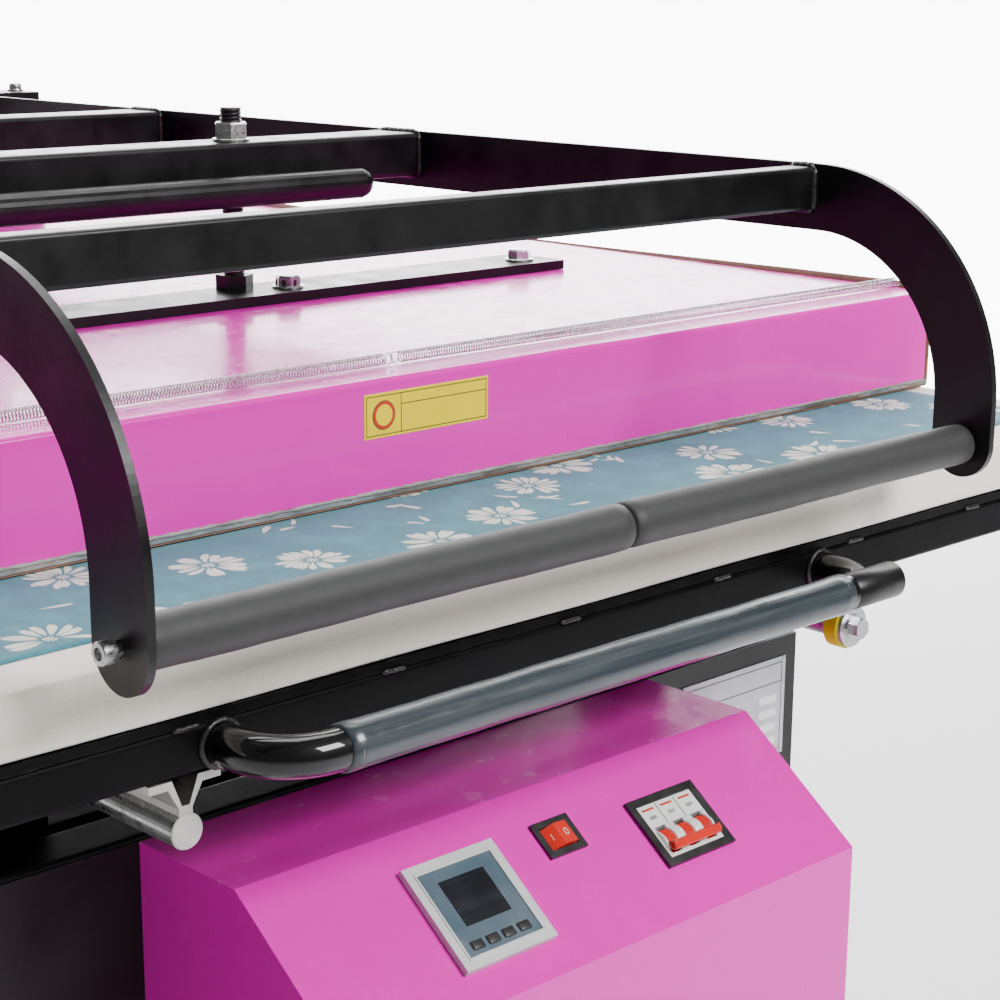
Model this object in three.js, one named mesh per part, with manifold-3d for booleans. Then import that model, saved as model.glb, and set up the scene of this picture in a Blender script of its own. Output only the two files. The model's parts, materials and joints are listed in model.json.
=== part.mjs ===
// Large-format drawer heat press: a cart-like base, a drawer table on two supported rails, and a hinged head
// that carries the heated platen. Millimetres, +Z up, +Y to the rear, origin on the floor under the middle.
import * as THREE from 'three';
import { mergeVertices } from 'three/addons/utils/BufferGeometryUtils.js';
import Module from 'manifold-3d';

const wasm = await Module();
wasm.setup();

// ---- driving dimensions -------------------------------------------------------------------------
const GAP = 0.3; // between touching pieces
const RAIL_Z = 800; // height of the rail axis above the floor
const TRAY_FRONT = -657; // Y of the drawer's front face, drawer out by its usual loading gap

const RAIL_X = 273; // rails left and right of the middle
const RAIL_R = 10;
const TRAY_HALF_W = 615;
const TRAY_DEPTH = 1030;
const TRAY_BOTTOM = 30; // heights below are measured from the rail axis
const TRAY_TUBE_H = 26;
const TRAY_PLATE_T = 6;
const PAD_T = 35.7;
const SHEET_T = 0.8; // work sheet on the pad

const PLATEN_FRONT = 172; // depths below are measured from the drawer's front face
const PLATEN_DEPTH = 1012;
const PLATEN_HALF_W = 611;
const RELEASE_T = 1.6; // release sheet under the platen
const PLATEN_BOTTOM = 101;
const COVER_BOTTOM = 105.5;
const COVER_TOP = 179.3;
const COVER_WALL = 2;

const HEAD_X = -6; // the arm frame sits this far off the platen's middle
const ARM_X = 334; // inner face of each arm, from the arm frame's middle
const ARM_T = 5;
const ARM_W = 46;
const ARM_Z = 282; // centre line of the straight part, and the pivot
const ARM_BEND_R = 128;
const ARM_BEND_Y = 74;
const GRIP_Z = 127;
const PIVOT_Y = 1240;
const TAIL_Y = 1368;
const PIVOT_R = 15;

const BASE_HALF_W = 390;
const BEAM_W = 60;
const BEAM_D = 40;
const BEAM_TOP = -58;
const BEAM_FRONT = 128;
const POST_Y = 1210;
const POST_X = 350;
const STRETCHER_Z = 150; // height of its underside above the floor

const BOX_HALF_W = 219;
const BOX_BACK = 125.4;
const BOX_RIDGE = [34, -60]; // depth and height of the fold at the top of the sloping panel
const BOX_LIP = [-62, -131.5]; // the fold at its foot
const BOX_FLOOR = -262;
const BOX_WALL = 2;
const ROCKER_TILT = 0.2;
const ROCKER_EDGE = 1.3; // heights of the key's faces over its pivot
const ROCKER_RIDGE = 4.8;
const BREAKER_TILT = 0.55;

// ---- materials ----------------------------------------------------------------------------------
const paint = (color, roughness = 0.35, metalness = 0) =>
  new THREE.MeshStandardMaterial({ color, roughness, metalness });
const BLACK = paint(0x17171a, 0.4);
const PINK = paint(0xd94fb8, 0.25);
const STEEL = paint(0xb9bcbe, 0.35, 0.9);
const ALUMINIUM = paint(0xb4b3ab, 0.5, 0.8);
const FOAM = paint(0x37393a, 0.85);
const SLEEVE = paint(0x4f5a62, 0.45);
const FELT = paint(0xf3ecdc, 0.95);
const CLOTH = paint(0x6fa3b1, 0.8);
const BROWN = paint(0x7a4f38, 0.6);
const YELLOW = paint(0xf0c808, 0.4);
const GREY = paint(0xdedcd6, 0.5);
const DARK = paint(0x15171a, 0.15);
const WHITE = paint(0xf1f1ee, 0.4);
const RED = paint(0xd8241c, 0.3);
const PLATE = paint(0x9aa3a8, 0.45, 0.6);

// ---- small tools --------------------------------------------------------------------------------
const model = new THREE.Group();
const y = (depth) => TRAY_FRONT + depth;
const z = (height) => RAIL_Z + height;

const armFrame = new THREE.Group();
armFrame.position.x = HEAD_X;
model.add(armFrame);

function add(name, geometry, material, parent = model) {
  const mesh = new THREE.Mesh(geometry, material);
  mesh.name = name;
  parent.add(mesh);
  return mesh;
}

function solid(geometry) {
  const bare = geometry.clone();
  bare.deleteAttribute('normal');
  bare.deleteAttribute('uv');
  const merged = mergeVertices(bare.index ? bare.toNonIndexed() : bare, 1e-4);
  return new wasm.Manifold(
    new wasm.Mesh({
      numProp: 3,
      vertProperties: new Float32Array(merged.attributes.position.array),
      triVerts: new Uint32Array(merged.index.array),
    }),
  );
}

function geometryOf(manifold) {
  const mesh = manifold.getMesh();
  const geometry = new THREE.BufferGeometry();
  geometry.setAttribute('position', new THREE.BufferAttribute(new Float32Array(mesh.vertProperties), 3));
  geometry.setIndex(new THREE.BufferAttribute(new Uint32Array(mesh.triVerts), 1));
  return geometry;
}

const join = (first, ...rest) => geometryOf(rest.reduce((sum, g) => sum.add(solid(g)), solid(first)));
const cut = (first, ...rest) => geometryOf(rest.reduce((sum, g) => sum.subtract(solid(g)), solid(first)));

// A box from its lowest to its highest corner.
function block(x0, x1, y0, y1, z0, z1) {
  const geometry = new THREE.BoxGeometry(x1 - x0, y1 - y0, z1 - z0);
  return geometry.translate((x0 + x1) / 2, (y0 + y1) / 2, (z0 + z1) / 2);
}

function extrude(shape, depth) {
  return new THREE.ExtrudeGeometry(shape, { depth, bevelEnabled: false, curveSegments: 3 });
}

function roundedRectangle(width, height, radius, path = new THREE.Shape()) {
  const [w, h] = [width / 2, height / 2];
  path.moveTo(w, -h + radius);
  path.lineTo(w, h - radius);
  path.absarc(w - radius, h - radius, radius, 0, Math.PI / 2);
  path.lineTo(-w + radius, h);
  path.absarc(-w + radius, h - radius, radius, Math.PI / 2, Math.PI);
  path.lineTo(-w, -h + radius);
  path.absarc(-w + radius, -h + radius, radius, Math.PI, 1.5 * Math.PI);
  path.lineTo(w - radius, -h);
  path.absarc(w - radius, -h + radius, radius, 1.5 * Math.PI, 2 * Math.PI);
  return path;
}

// Hollow rectangular section along one axis, open at both ends, from its lowest to its highest corner.
function tube(axis, low, high, wall = 3, radius = 4) {
  const size = high.map((v, i) => v - low[i]);
  const centre = high.map((v, i) => (v + low[i]) / 2);
  const along = { x: 0, y: 1, z: 2 }[axis];
  const [width, height] = { x: [size[1], size[2]], y: [size[0], size[2]], z: [size[0], size[1]] }[axis];
  const shape = roundedRectangle(width, height, radius);
  const inner = [width - 2 * wall, height - 2 * wall, radius - wall + 0.5];
  shape.holes.push(roundedRectangle(...inner, new THREE.Path()));
  const geometry = extrude(shape, size[along]).translate(0, 0, -size[along] / 2);
  if (axis === 'x') geometry.rotateZ(Math.PI / 2).rotateY(Math.PI / 2);
  if (axis === 'y') geometry.rotateX(Math.PI / 2);
  return geometry.translate(...centre);
}

function rod(axis, radius, from, to, centre, sides = 24) {
  const geometry = new THREE.CylinderGeometry(radius, radius, to - from, sides);
  const middle = (from + to) / 2;
  if (axis === 'x') return geometry.rotateZ(Math.PI / 2).translate(middle, centre[0], centre[1]);
  if (axis === 'y') return geometry.translate(centre[0], middle, centre[1]);
  return geometry.rotateX(Math.PI / 2).translate(centre[0], centre[1], middle);
}

const SIDES = [['left', -1], ['right', 1]];

// ---- base ---------------------------------------------------------------------------------------
function makeBase() {
  const beamLow = z(BEAM_TOP - BEAM_W);
  const beamHigh = z(BEAM_TOP);
  const legX = BASE_HALF_W - BEAM_W;
  const frontEnds = [
    [-BASE_HALF_W, y(BEAM_FRONT), beamLow],
    [BASE_HALF_W, y(BEAM_FRONT + BEAM_D), beamHigh],
  ];
  add('front_beam', tube('x', ...frontEnds), BLACK);
  const rearEnds = [
    [-POST_X + GAP, y(POST_Y + 5), beamLow],
    [POST_X - GAP, y(POST_Y + 55), beamHigh],
  ];
  const lugs = SIDES.map(([, s]) => {
    const middle = HEAD_X + s * (ARM_X + ARM_T / 2);
    return block(middle - 5, middle + 5, y(POST_Y + 54), y(POST_Y + 92), z(BEAM_TOP - 50), z(BEAM_TOP - 12));
  });
  add('rear_beam', join(tube('x', ...rearEnds), ...lugs), BLACK);
  for (const [side, s] of SIDES) {
    const [x0, x1] = s < 0 ? [-BASE_HALF_W, -legX] : [legX, BASE_HALF_W];
    const [near, far] = [y(BEAM_FRONT + BEAM_D + GAP), y(POST_Y - GAP)];
    add(`side_beam_${side}`, tube('y', [x0, near, beamLow], [x1, far, beamHigh]), BLACK);
    add(`front_leg_${side}`, makeLeg(x0, x1, y(BEAM_FRONT), y(BEAM_FRONT + BEAM_D), beamLow - GAP), BLACK);
    const [p0, p1] = s < 0 ? [-POST_X - 60, -POST_X] : [POST_X, POST_X + 60];
    add(`rear_post_${side}`, makeLeg(p0, p1, y(POST_Y), y(POST_Y + 60), z(ARM_Z - 20)), BLACK);
  }
  for (const [name, depth] of [['front', 175], ['rear', 560]]) {
    const beam = tube('x', [-legX + GAP, y(depth), beamLow], [legX - GAP, y(depth + 50), beamHigh]);
    const risers = SIDES.map(([, s]) => {
      const middle = s * RAIL_X;
      return block(middle - 24, middle + 24, y(depth), y(depth + 50), beamHigh - 1, z(-23 - GAP));
    });
    add(`rail_beam_${name}`, join(beam, ...risers), BLACK);
    for (const [side, s] of SIDES)
      add(`bearing_block_${name}_${side}`, makeBearing(y(depth)).translate(s * RAIL_X, 0, RAIL_Z), ALUMINIUM);
  }
  const stretcherEnds = [
    [-POST_X + GAP, y(POST_Y + 10), STRETCHER_Z],
    [POST_X - GAP, y(POST_Y + 50), STRETCHER_Z + 50],
  ];
  add('lower_stretcher', tube('x', ...stretcherEnds), BLACK);
  const panelFaces = [y(BEAM_FRONT - 2 - GAP), y(BEAM_FRONT - GAP)];
  add('front_panel', block(-BASE_HALF_W, BASE_HALF_W, ...panelFaces, z(-400), z(BEAM_TOP - 2)), BLACK);
  const plate = block(258, 377, y(BEAM_FRONT - 3.2), y(BEAM_FRONT - 2 - 2 * GAP), z(-155), z(-76));
  add('nameplate', plate, PLATE);
}

// A square leg with a welded foot plate, open at the top.
function makeLeg(x0, x1, y0, y1, top) {
  const foot = block(x0 - 8, x1 + 8, y0 - 8, y1 + 8, 0, 10);
  return join(tube('z', [x0, y0, 9], [x1, y1, top]), foot);
}

// Open linear bearing: the shaft's support passes through the slot at the top.
function makeBearing(front) {
  const shape = new THREE.Shape();
  const bore = 10.8;
  const slot = Math.acos(8 / bore);
  shape.moveTo(-24, -23);
  shape.lineTo(24, -23);
  shape.lineTo(24, -2);
  shape.lineTo(18, 4);
  shape.lineTo(14, 12);
  shape.lineTo(8, 12);
  shape.absarc(0, 0, bore, slot, Math.PI - slot, true);
  shape.lineTo(-8, 12);
  shape.lineTo(-14, 12);
  shape.lineTo(-18, 4);
  shape.lineTo(-24, -2);
  const geometry = new THREE.ExtrudeGeometry(shape, { depth: 50, bevelEnabled: false, curveSegments: 20 });
  return geometry.rotateX(Math.PI / 2).translate(0, front + 50, 0);
}

// ---- control box --------------------------------------------------------------------------------
const SLOPE = Math.atan2(BOX_RIDGE[1] - BOX_LIP[1], BOX_RIDGE[0] - BOX_LIP[0]);
const panelGroup = new THREE.Group();
panelGroup.position.set(0, y(BOX_RIDGE[0]), z(BOX_RIDGE[1]));
panelGroup.rotation.x = SLOPE;
model.add(panelGroup);

// A hole through the sloping panel, from its left and top to its right and bottom, distances down the slope.
function panelHole(left, top, right, bottom) {
  const geometry = block(left, right, -bottom, -top, -40, 10);
  return geometry.rotateX(SLOPE).translate(0, y(BOX_RIDGE[0]), z(BOX_RIDGE[1]));
}

function boxProfile(wall) {
  const tilt = wall * Math.tan(SLOPE / 2);
  const lipTilt = wall * Math.tan((Math.PI / 2 - SLOPE) / 2);
  const back = BOX_BACK + (wall ? 10 : 0);
  const points = [
    [back, BOX_FLOOR + wall],
    [back, BOX_RIDGE[1] - wall],
    [BOX_RIDGE[0] + tilt, BOX_RIDGE[1] - wall],
    [BOX_LIP[0] + wall, BOX_LIP[1] - lipTilt],
    [BOX_LIP[0] + wall, BOX_FLOOR + wall],
  ];
  const shape = new THREE.Shape(points.map(([depth, height]) => new THREE.Vector2(y(depth), z(height))));
  const width = 2 * (BOX_HALF_W - wall);
  // The profile's plane becomes the YZ plane, and its thickness runs along X.
  const turn = new THREE.Matrix4().makeBasis(
    new THREE.Vector3(0, 1, 0),
    new THREE.Vector3(0, 0, 1),
    new THREE.Vector3(1, 0, 0),
  );
  return extrude(shape, width).translate(0, 0, -width / 2).applyMatrix4(turn);
}

const CONTROLLER = { left: -118, top: 26, size: 72 };
const ROCKER = { left: -12, top: 26, width: 31.5, height: 25.5 };
const BREAKER = { left: 66, top: 34.7, width: 62.2, height: 50.5 };

function makeControls() {
  const { left: cl, top: ct, size } = CONTROLLER;
  const { left: rl, top: rt, width: rw, height: rh } = ROCKER;
  const { left: bl, top: bt, width: bw, height: bh } = BREAKER;
  add(
    'control_box',
    cut(
      boxProfile(0),
      boxProfile(BOX_WALL),
      panelHole(cl + 3, ct + 3, cl + size - 3, ct + size - 3),
      panelHole(rl + 2.5, rt + 2.5, rl + rw - 2.5, rt + rh - 2.5),
      panelHole(bl + 4, bt + 4, bl + bw - 4, bt + bh - 4),
    ),
    PINK,
  );

  const bezel = block(cl, cl + size, -ct - size, -ct, GAP, 5);
  const body = block(cl + 3.4, cl + size - 3.4, -ct - size + 3.4, -ct - 3.4, -34, GAP + 0.1);
  const window = block(cl + 7, cl + size - 7, -ct - size + 7, -ct - 7, 3.4, 6);
  add('controller_case', cut(join(bezel, body), window), GREY, panelGroup);
  const glass = block(cl + 7.3, cl + size - 7.3, -ct - size + 7.3, -ct - 7.3, 3.4 + GAP, 4.6);
  add('controller_window', glass, DARK, panelGroup);

  const rocker = rockerKey();
  const frame = join(
    block(rl, rl + rw, -rt - rh, -rt, GAP, 2.2),
    block(rl + 2.9, rl + rw - 2.9, -rt - rh + 2.9, -rt - 2.9, -20, GAP + 0.1),
  );
  const well = block(rl + 4.4, rl + rw - 4.4, -rt - rh + 4.4, -rt - 4.4, -15, 6);
  add('rocker_frame', cut(frame, well), BLACK, panelGroup);
  add('rocker_key', rocker, RED, panelGroup);

  const surround = block(bl, bl + bw, -bt - bh, -bt, GAP, 3);
  const hole = block(bl + 5.4, bl + bw - 5.4, -bt - bh + 5.4, -bt - 5.4, -10, 10);
  add('breaker_frame', cut(surround, hole), BLACK, panelGroup);
  makeBreaker(bl + 5.7, -bt - bh + 5.7, bl + bw - 5.7, -bt - 5.7);
}

// A rocker with two flats meeting at a ridge over its pivot, stored pressed down on its right side.
function rockerKey() {
  const { left, top, width, height } = ROCKER;
  const half = width / 2 - 5.6;
  const shape = new THREE.Shape();
  shape.moveTo(-half, -4);
  shape.lineTo(half, -4);
  shape.lineTo(half, ROCKER_EDGE);
  shape.lineTo(0.8, ROCKER_RIDGE);
  shape.lineTo(-0.8, ROCKER_RIDGE);
  shape.lineTo(-half, ROCKER_EDGE);
  const length = height - 10;
  const geometry = extrude(shape, length).translate(0, 0, -length / 2).rotateX(Math.PI / 2);
  geometry.rotateY(-ROCKER_TILT).translate(0, 0, 0.6);
  return geometry.translate(left + width / 2, -top - height / 2, 0);
}

// Three-pole breaker: a white body with a slot for the levers, and one tie bar over the three levers.
function makeBreaker(x0, y0, x1, y1) {
  const body = block(x0, x1, y0, y1, -45, 2);
  const slot = block(x0 + 2, x1 - 2, y0 + 2.4, y0 + 22.6, -12, 12);
  add('breaker_body', cut(body, slot), WHITE, panelGroup);
  const middle = y0 + 12.5;
  const bar = rod('x', 2.6, x0 + 3, x1 - 3, [0, 13], 12);
  const hub = rod('x', 3, x0 + 3, x1 - 3, [0, 0], 12);
  const pole = (x1 - x0) / 3;
  const levers = [0.5, 1.5, 2.5].map((n) => block(x0 + pole * n - 3, x0 + pole * n + 3, -1.8, 1.8, 0, 13));
  const lever = join(bar, hub, ...levers).rotateX(BREAKER_TILT).translate(0, middle, -5);
  add('breaker_lever', lever, RED, panelGroup);
}

// ---- drawer -------------------------------------------------------------------------------------
function makeTray() {
  const low = z(TRAY_BOTTOM);
  const high = low + TRAY_TUBE_H;
  for (const [name, depth] of [['front', 0], ['rear', TRAY_DEPTH - 40]]) {
    const ends = [[-TRAY_HALF_W, y(depth), low], [TRAY_HALF_W, y(depth + 40), high]];
    add(`tray_tube_${name}`, tube('x', ...ends, 2.5, 3), BLACK);
  }
  for (const [side, s] of SIDES) {
    const x0 = s * RAIL_X - 25;
    const ends = [y(40 + GAP), y(TRAY_DEPTH - 40 - GAP)];
    add(`tray_bearer_${side}`, tube('y', [x0, ends[0], low], [x0 + 50, ends[1], high], 2.5, 3), BLACK);
    add(`rail_${side}`, makeRail().translate(s * RAIL_X, 0, RAIL_Z), STEEL);
  }
  const top = high + GAP + TRAY_PLATE_T;
  add('tray_plate', block(-TRAY_HALF_W, TRAY_HALF_W, y(0), y(TRAY_DEPTH), high + GAP, top), BLACK);
  const padTop = top + GAP + PAD_T - 0.6;
  add('felt_pad', block(-TRAY_HALF_W, TRAY_HALF_W, y(0), y(TRAY_DEPTH), top + GAP, padTop), FELT);
  add('work_sheet', block(-585, 585, y(40), y(980), padTop + GAP, padTop + GAP + SHEET_T), CLOTH);
  makePullHandle();
  makeStop();
}

// A ground shaft on its V-shaped aluminium support, hung under the drawer.
function makeRail() {
  const length = TRAY_DEPTH - 10;
  const shaft = rod('y', RAIL_R, y(0), y(length), [0, 0], 32);
  const half = [
    [22.5, TRAY_BOTTOM - GAP],
    [22.5, 25.2],
    [10.8, 25.2],
    [4.2, 13],
    [4.2, 8.8],
  ];
  const inner = [
    [0, 8.8],
    [0, 14.5],
    [2.4, 14.5],
    [8.2, TRAY_BOTTOM - GAP],
  ];
  const right = [...inner.slice(1), ...half];
  const outline = [...right, ...right.slice().reverse().map(([a, b]) => [-a, b])];
  const unique = outline.filter(([a], i) => i === 0 || a !== 0);
  const support = new THREE.Shape(unique.map(([a, b]) => new THREE.Vector2(a, b)));
  const web = extrude(support, length).rotateX(Math.PI / 2).translate(0, y(length), 0);
  return join(shaft, web);
}

function makePullHandle() {
  const [reach, bend, half] = [-49, 34, 250];
  const path = new THREE.CurvePath();
  const at = (x, depth) => new THREE.Vector3(x, y(depth), z(43));
  path.add(new THREE.LineCurve3(at(-half, -GAP), at(-half, reach + bend)));
  const corner = (from, over, to) => new THREE.QuadraticBezierCurve3(at(...from), at(...over), at(...to));
  path.add(corner([-half, reach + bend], [-half, reach], [-half + bend, reach]));
  path.add(new THREE.LineCurve3(at(-half + bend, reach), at(half - bend, reach)));
  path.add(corner([half - bend, reach], [half, reach], [half, reach + bend]));
  path.add(new THREE.LineCurve3(at(half, reach + bend), at(half, -GAP)));
  const circle = new THREE.Shape().absarc(0, 0, 11.6, 0, 2 * Math.PI);
  const geometry = new THREE.ExtrudeGeometry(circle, { steps: 48, curveSegments: 8, extrudePath: path });
  add('pull_handle', geometry, BLACK);
  const sleeve = cut(
    rod('x', 13, -211, 211, [y(reach), z(43)], 32),
    rod('x', 12.1, -220, 220, [y(reach), z(43)], 32),
  );
  add('pull_sleeve', sleeve, SLEEVE);
}

// Bumper, washer and bolt on the front end of the right rail.
function makeStop() {
  const centre = [RAIL_X, RAIL_Z];
  add('stop_bumper', rod('y', 16, y(-10.5), y(-GAP), centre, 32), YELLOW);
  const washer = rod('y', 14.5, y(-13.8), y(-10.5 - GAP), centre, 32);
  const flange = rod('y', 8.6, y(-15.4), y(-13.6), centre, 24);
  const head = rod('y', 7.4, y(-22), y(-15.2), centre, 6);
  add('stop_bolt', join(washer, flange, head), STEEL);
}

// ---- head ---------------------------------------------------------------------------------------
// The arm's outline in the YZ plane: rounded grip end, quarter bend, straight run and tail.
function armShape() {
  const w = ARM_W / 2;
  const gripY = ARM_BEND_Y - ARM_BEND_R;
  const bendZ = ARM_Z - ARM_BEND_R;
  const shape = new THREE.Shape();
  shape.moveTo(gripY - w, bendZ);
  shape.lineTo(gripY - w, GRIP_Z);
  shape.absarc(gripY, GRIP_Z, w, Math.PI, 2 * Math.PI);
  shape.lineTo(gripY + w, bendZ);
  shape.absarc(ARM_BEND_Y, bendZ, ARM_BEND_R - w, Math.PI, Math.PI / 2, true);
  shape.lineTo(TAIL_Y, ARM_Z - w);
  shape.absarc(TAIL_Y, ARM_Z, w, -Math.PI / 2, Math.PI / 2);
  shape.lineTo(ARM_BEND_Y, ARM_Z + w);
  shape.absarc(ARM_BEND_Y, bendZ, ARM_BEND_R + w, Math.PI / 2, Math.PI);
  return shape;
}

function plateAlongX(shape, x0, thickness) {
  const turn = new THREE.Matrix4().makeBasis(
    new THREE.Vector3(0, 1, 0),
    new THREE.Vector3(0, 0, 1),
    new THREE.Vector3(1, 0, 0),
  );
  const options = { depth: thickness, bevelEnabled: false, curveSegments: 24 };
  return new THREE.ExtrudeGeometry(shape, options).applyMatrix4(turn).translate(x0, TRAY_FRONT, RAIL_Z);
}

function makeHeadFrame() {
  const pivot = [y(PIVOT_Y), z(ARM_Z)];
  for (const [side, s] of SIDES) {
    const x0 = s < 0 ? -ARM_X - ARM_T : ARM_X;
    const hubX = s < 0 ? [-ARM_X - ARM_T, -ARM_X + 24] : [ARM_X - 24, ARM_X + ARM_T];
    const hub = rod('x', 30, hubX[0], hubX[1], pivot, 32);
    const bore = rod('x', PIVOT_R + 0.6, -500, 500, pivot, 32);
    const arm = join(plateAlongX(armShape(), x0, ARM_T), hub);
    const tailHole = rod('x', 5, -500, 500, [y(TAIL_Y + 4), z(ARM_Z - 8)], 16);
    const gripHole = rod('x', 4.5, -500, 500, [y(ARM_BEND_Y - ARM_BEND_R), z(GRIP_Z)], 20);
    add(`arm_${side}`, cut(arm, bore, tailHole, gripHole), BLACK, armFrame);
  }
  const inner = ARM_X - GAP;
  const bar = tube('x', [-inner, y(78), z(273)], [inner, y(98), z(303)], 2.5, 3);
  add('crossbar', bar, BLACK, armFrame);
  for (const [name, depth] of [['front', 493], ['rear', 865]])
    add(`head_beam_${name}`, hangerBeam(inner, depth), BLACK, armFrame);
  add('wireway_tube', wireway(), BLACK);
}

const STUD_X = 148;
const HANGERS = [['front', 470, 513], ['rear', 842, 885]]; // name, bar front, stud line

// A cross beam of the head, drilled for the two hanger studs.
function hangerBeam(inner, depth) {
  const beam = tube('x', [-inner, y(depth), z(268)], [inner, y(depth + 50), z(304)], 3, 4);
  const holes = SIDES.map(([, s]) => {
    const centre = [s * STUD_X - HEAD_X, y(depth + 20)];
    return rod('z', 9, z(260), z(320), centre, 24);
  });
  return cut(beam, ...holes);
}

function wireway() {
  const [half, radius] = [257, 12];
  const profile = [new THREE.Vector2(0, -half)];
  for (let i = 0; i <= 6; i++) {
    const a = (i / 6) * (Math.PI / 2);
    profile.push(new THREE.Vector2(radius * Math.sin(a), -half + radius - radius * Math.cos(a)));
  }
  const mirrored = profile.map((p) => new THREE.Vector2(p.x, -p.y)).reverse();
  const outline = [...profile.slice(1), ...mirrored.slice(0, -1)];
  const tubeBody = new THREE.LatheGeometry(outline, 24).rotateZ(Math.PI / 2);
  return tubeBody.translate(0, y(474), z(268.5));
}

function makeHangers() {
  for (const [name, front, line] of HANGERS) {
    const low = z(COVER_TOP + GAP);
    const bar = block(-478, 478, y(front), y(front + 60), low, low + 8);
    const studs = SIDES.flatMap(([, s]) => [
      rod('z', 8, low + 7, z(330), [s * STUD_X, y(line)], 20),
      rod('z', 15, low + 7.5, low + 20, [s * STUD_X, y(line)], 6),
      rod('z', 10, low + 7.5, low + 15, [s * 445, y(line - 20)], 6),
      rod('z', 10, low + 7.5, low + 15, [s * 186, y(line - 20)], 6),
    ]);
    add(`hanger_${name}`, join(bar, ...studs), BLACK);
  }
}

function makePlaten() {
  const back = PLATEN_FRONT + PLATEN_DEPTH;
  const half = PLATEN_HALF_W;
  const insert = COVER_WALL + GAP;
  const lower = block(-half, half, y(PLATEN_FRONT), y(back), z(PLATEN_BOTTOM), z(COVER_BOTTOM - GAP));
  const upper = block(
    -half + insert,
    half - insert,
    y(PLATEN_FRONT + insert),
    y(back - insert),
    z(COVER_BOTTOM - GAP - 1),
    z(PLATEN_BOTTOM + 22),
  );
  add('platen_plate', join(lower, upper), ALUMINIUM);

  const shell = block(-half, half, y(PLATEN_FRONT), y(back), z(COVER_BOTTOM), z(COVER_TOP));
  const hollow = block(
    -half + COVER_WALL,
    half - COVER_WALL,
    y(PLATEN_FRONT + COVER_WALL),
    y(back - COVER_WALL),
    z(COVER_BOTTOM - 5),
    z(COVER_TOP - COVER_WALL),
  );
  add('platen_cover', cut(shell, hollow), PINK);
  makeReleaseSheet(back);
}

// A coated cloth under the platen, turned up over its left and right sides.
function makeReleaseSheet(back) {
  const inside = PLATEN_HALF_W + GAP;
  const low = z(PLATEN_BOTTOM - GAP - RELEASE_T);
  const outside = inside + RELEASE_T;
  const outer = block(-outside, outside, y(PLATEN_FRONT), y(back), low, z(COVER_TOP + 6));
  const open = [y(PLATEN_FRONT - 10), y(back + 10), low + RELEASE_T, z(COVER_TOP + 20)];
  const inner = block(-inside, inside, ...open);
  add('release_sheet', cut(outer, inner), BROWN);

  const reach = inside - 1;
  for (const [name, line] of [['front', PLATEN_FRONT + 34], ['rear', back - 34]])
    add(`sheet_spring_${name}`, rod('x', 4, -reach, reach, [y(line), z(COVER_TOP + 4.6)], 12), STEEL);
}

function makeGrip() {
  const centre = [y(ARM_BEND_Y - ARM_BEND_R), z(GRIP_Z)];
  const shank = ARM_X + ARM_T + 5;
  const screws = [
    rod('x', 4, -shank, shank, centre, 16),
    rod('x', 5.7, -shank - 4, -shank + 1, centre, 24),
    rod('x', 5.7, shank - 1, shank + 4, centre, 24),
  ];
  const core = rod('x', 8, -ARM_X + GAP, ARM_X - GAP, centre, 20);
  add('grip_rod', join(core, ...screws), STEEL, armFrame);
  for (const [side, s] of SIDES) {
    const [from, to] = s < 0 ? [-ARM_X + 1, -GAP] : [GAP, ARM_X - 1];
    const sleeve = rod('x', 13.7, from, to, centre, 32);
    add(`grip_foam_${side}`, cut(sleeve, rod('x', 8.4, -400, 400, centre, 20)), FOAM, armFrame);
  }
}

// ---- pivot and counterbalance -------------------------------------------------------------------
function makePivot() {
  const centre = [y(PIVOT_Y), z(ARM_Z)];
  add('pivot_shaft', rod('x', PIVOT_R, -POST_X - 62, POST_X + 62, centre, 32), STEEL);
  for (const [side, s] of SIDES) {
    const [x0, x1] = s < 0 ? [-POST_X - 58, -POST_X - 2] : [POST_X + 2, POST_X + 58];
    const housing = block(x0, x1, y(POST_Y), y(POST_Y + 60), z(ARM_Z - 20 + GAP), z(ARM_Z + 24));
    add(`pivot_bearing_${side}`, cut(housing, rod('x', PIVOT_R + 0.5, -500, 500, centre, 32)), BLACK);
    const middle = s * (ARM_X + ARM_T / 2);
    const foot = new THREE.Vector3(middle, y(POST_Y + 94), z(BEAM_TOP - 6));
    const tip = new THREE.Vector3(middle, y(TAIL_Y + 2), z(ARM_Z - ARM_W / 2 - 12));
    const length = tip.distanceTo(foot);
    const spring = new THREE.CylinderGeometry(15, 15, length, 16);
    const mesh = add(`counter_spring_${side}`, spring, STEEL, armFrame);
    mesh.position.copy(foot).lerp(tip, 0.5);
    mesh.quaternion.setFromUnitVectors(new THREE.Vector3(0, 1, 0), tip.sub(foot).normalize());
  }
}

makeBase();
makeTray();
makeHeadFrame();
makeHangers();
makePlaten();
makeGrip();
makePivot();
makeControls();

export default model;
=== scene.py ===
import json
import math
import random

import bmesh
import bpy
from mathutils import Matrix, Vector


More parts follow.
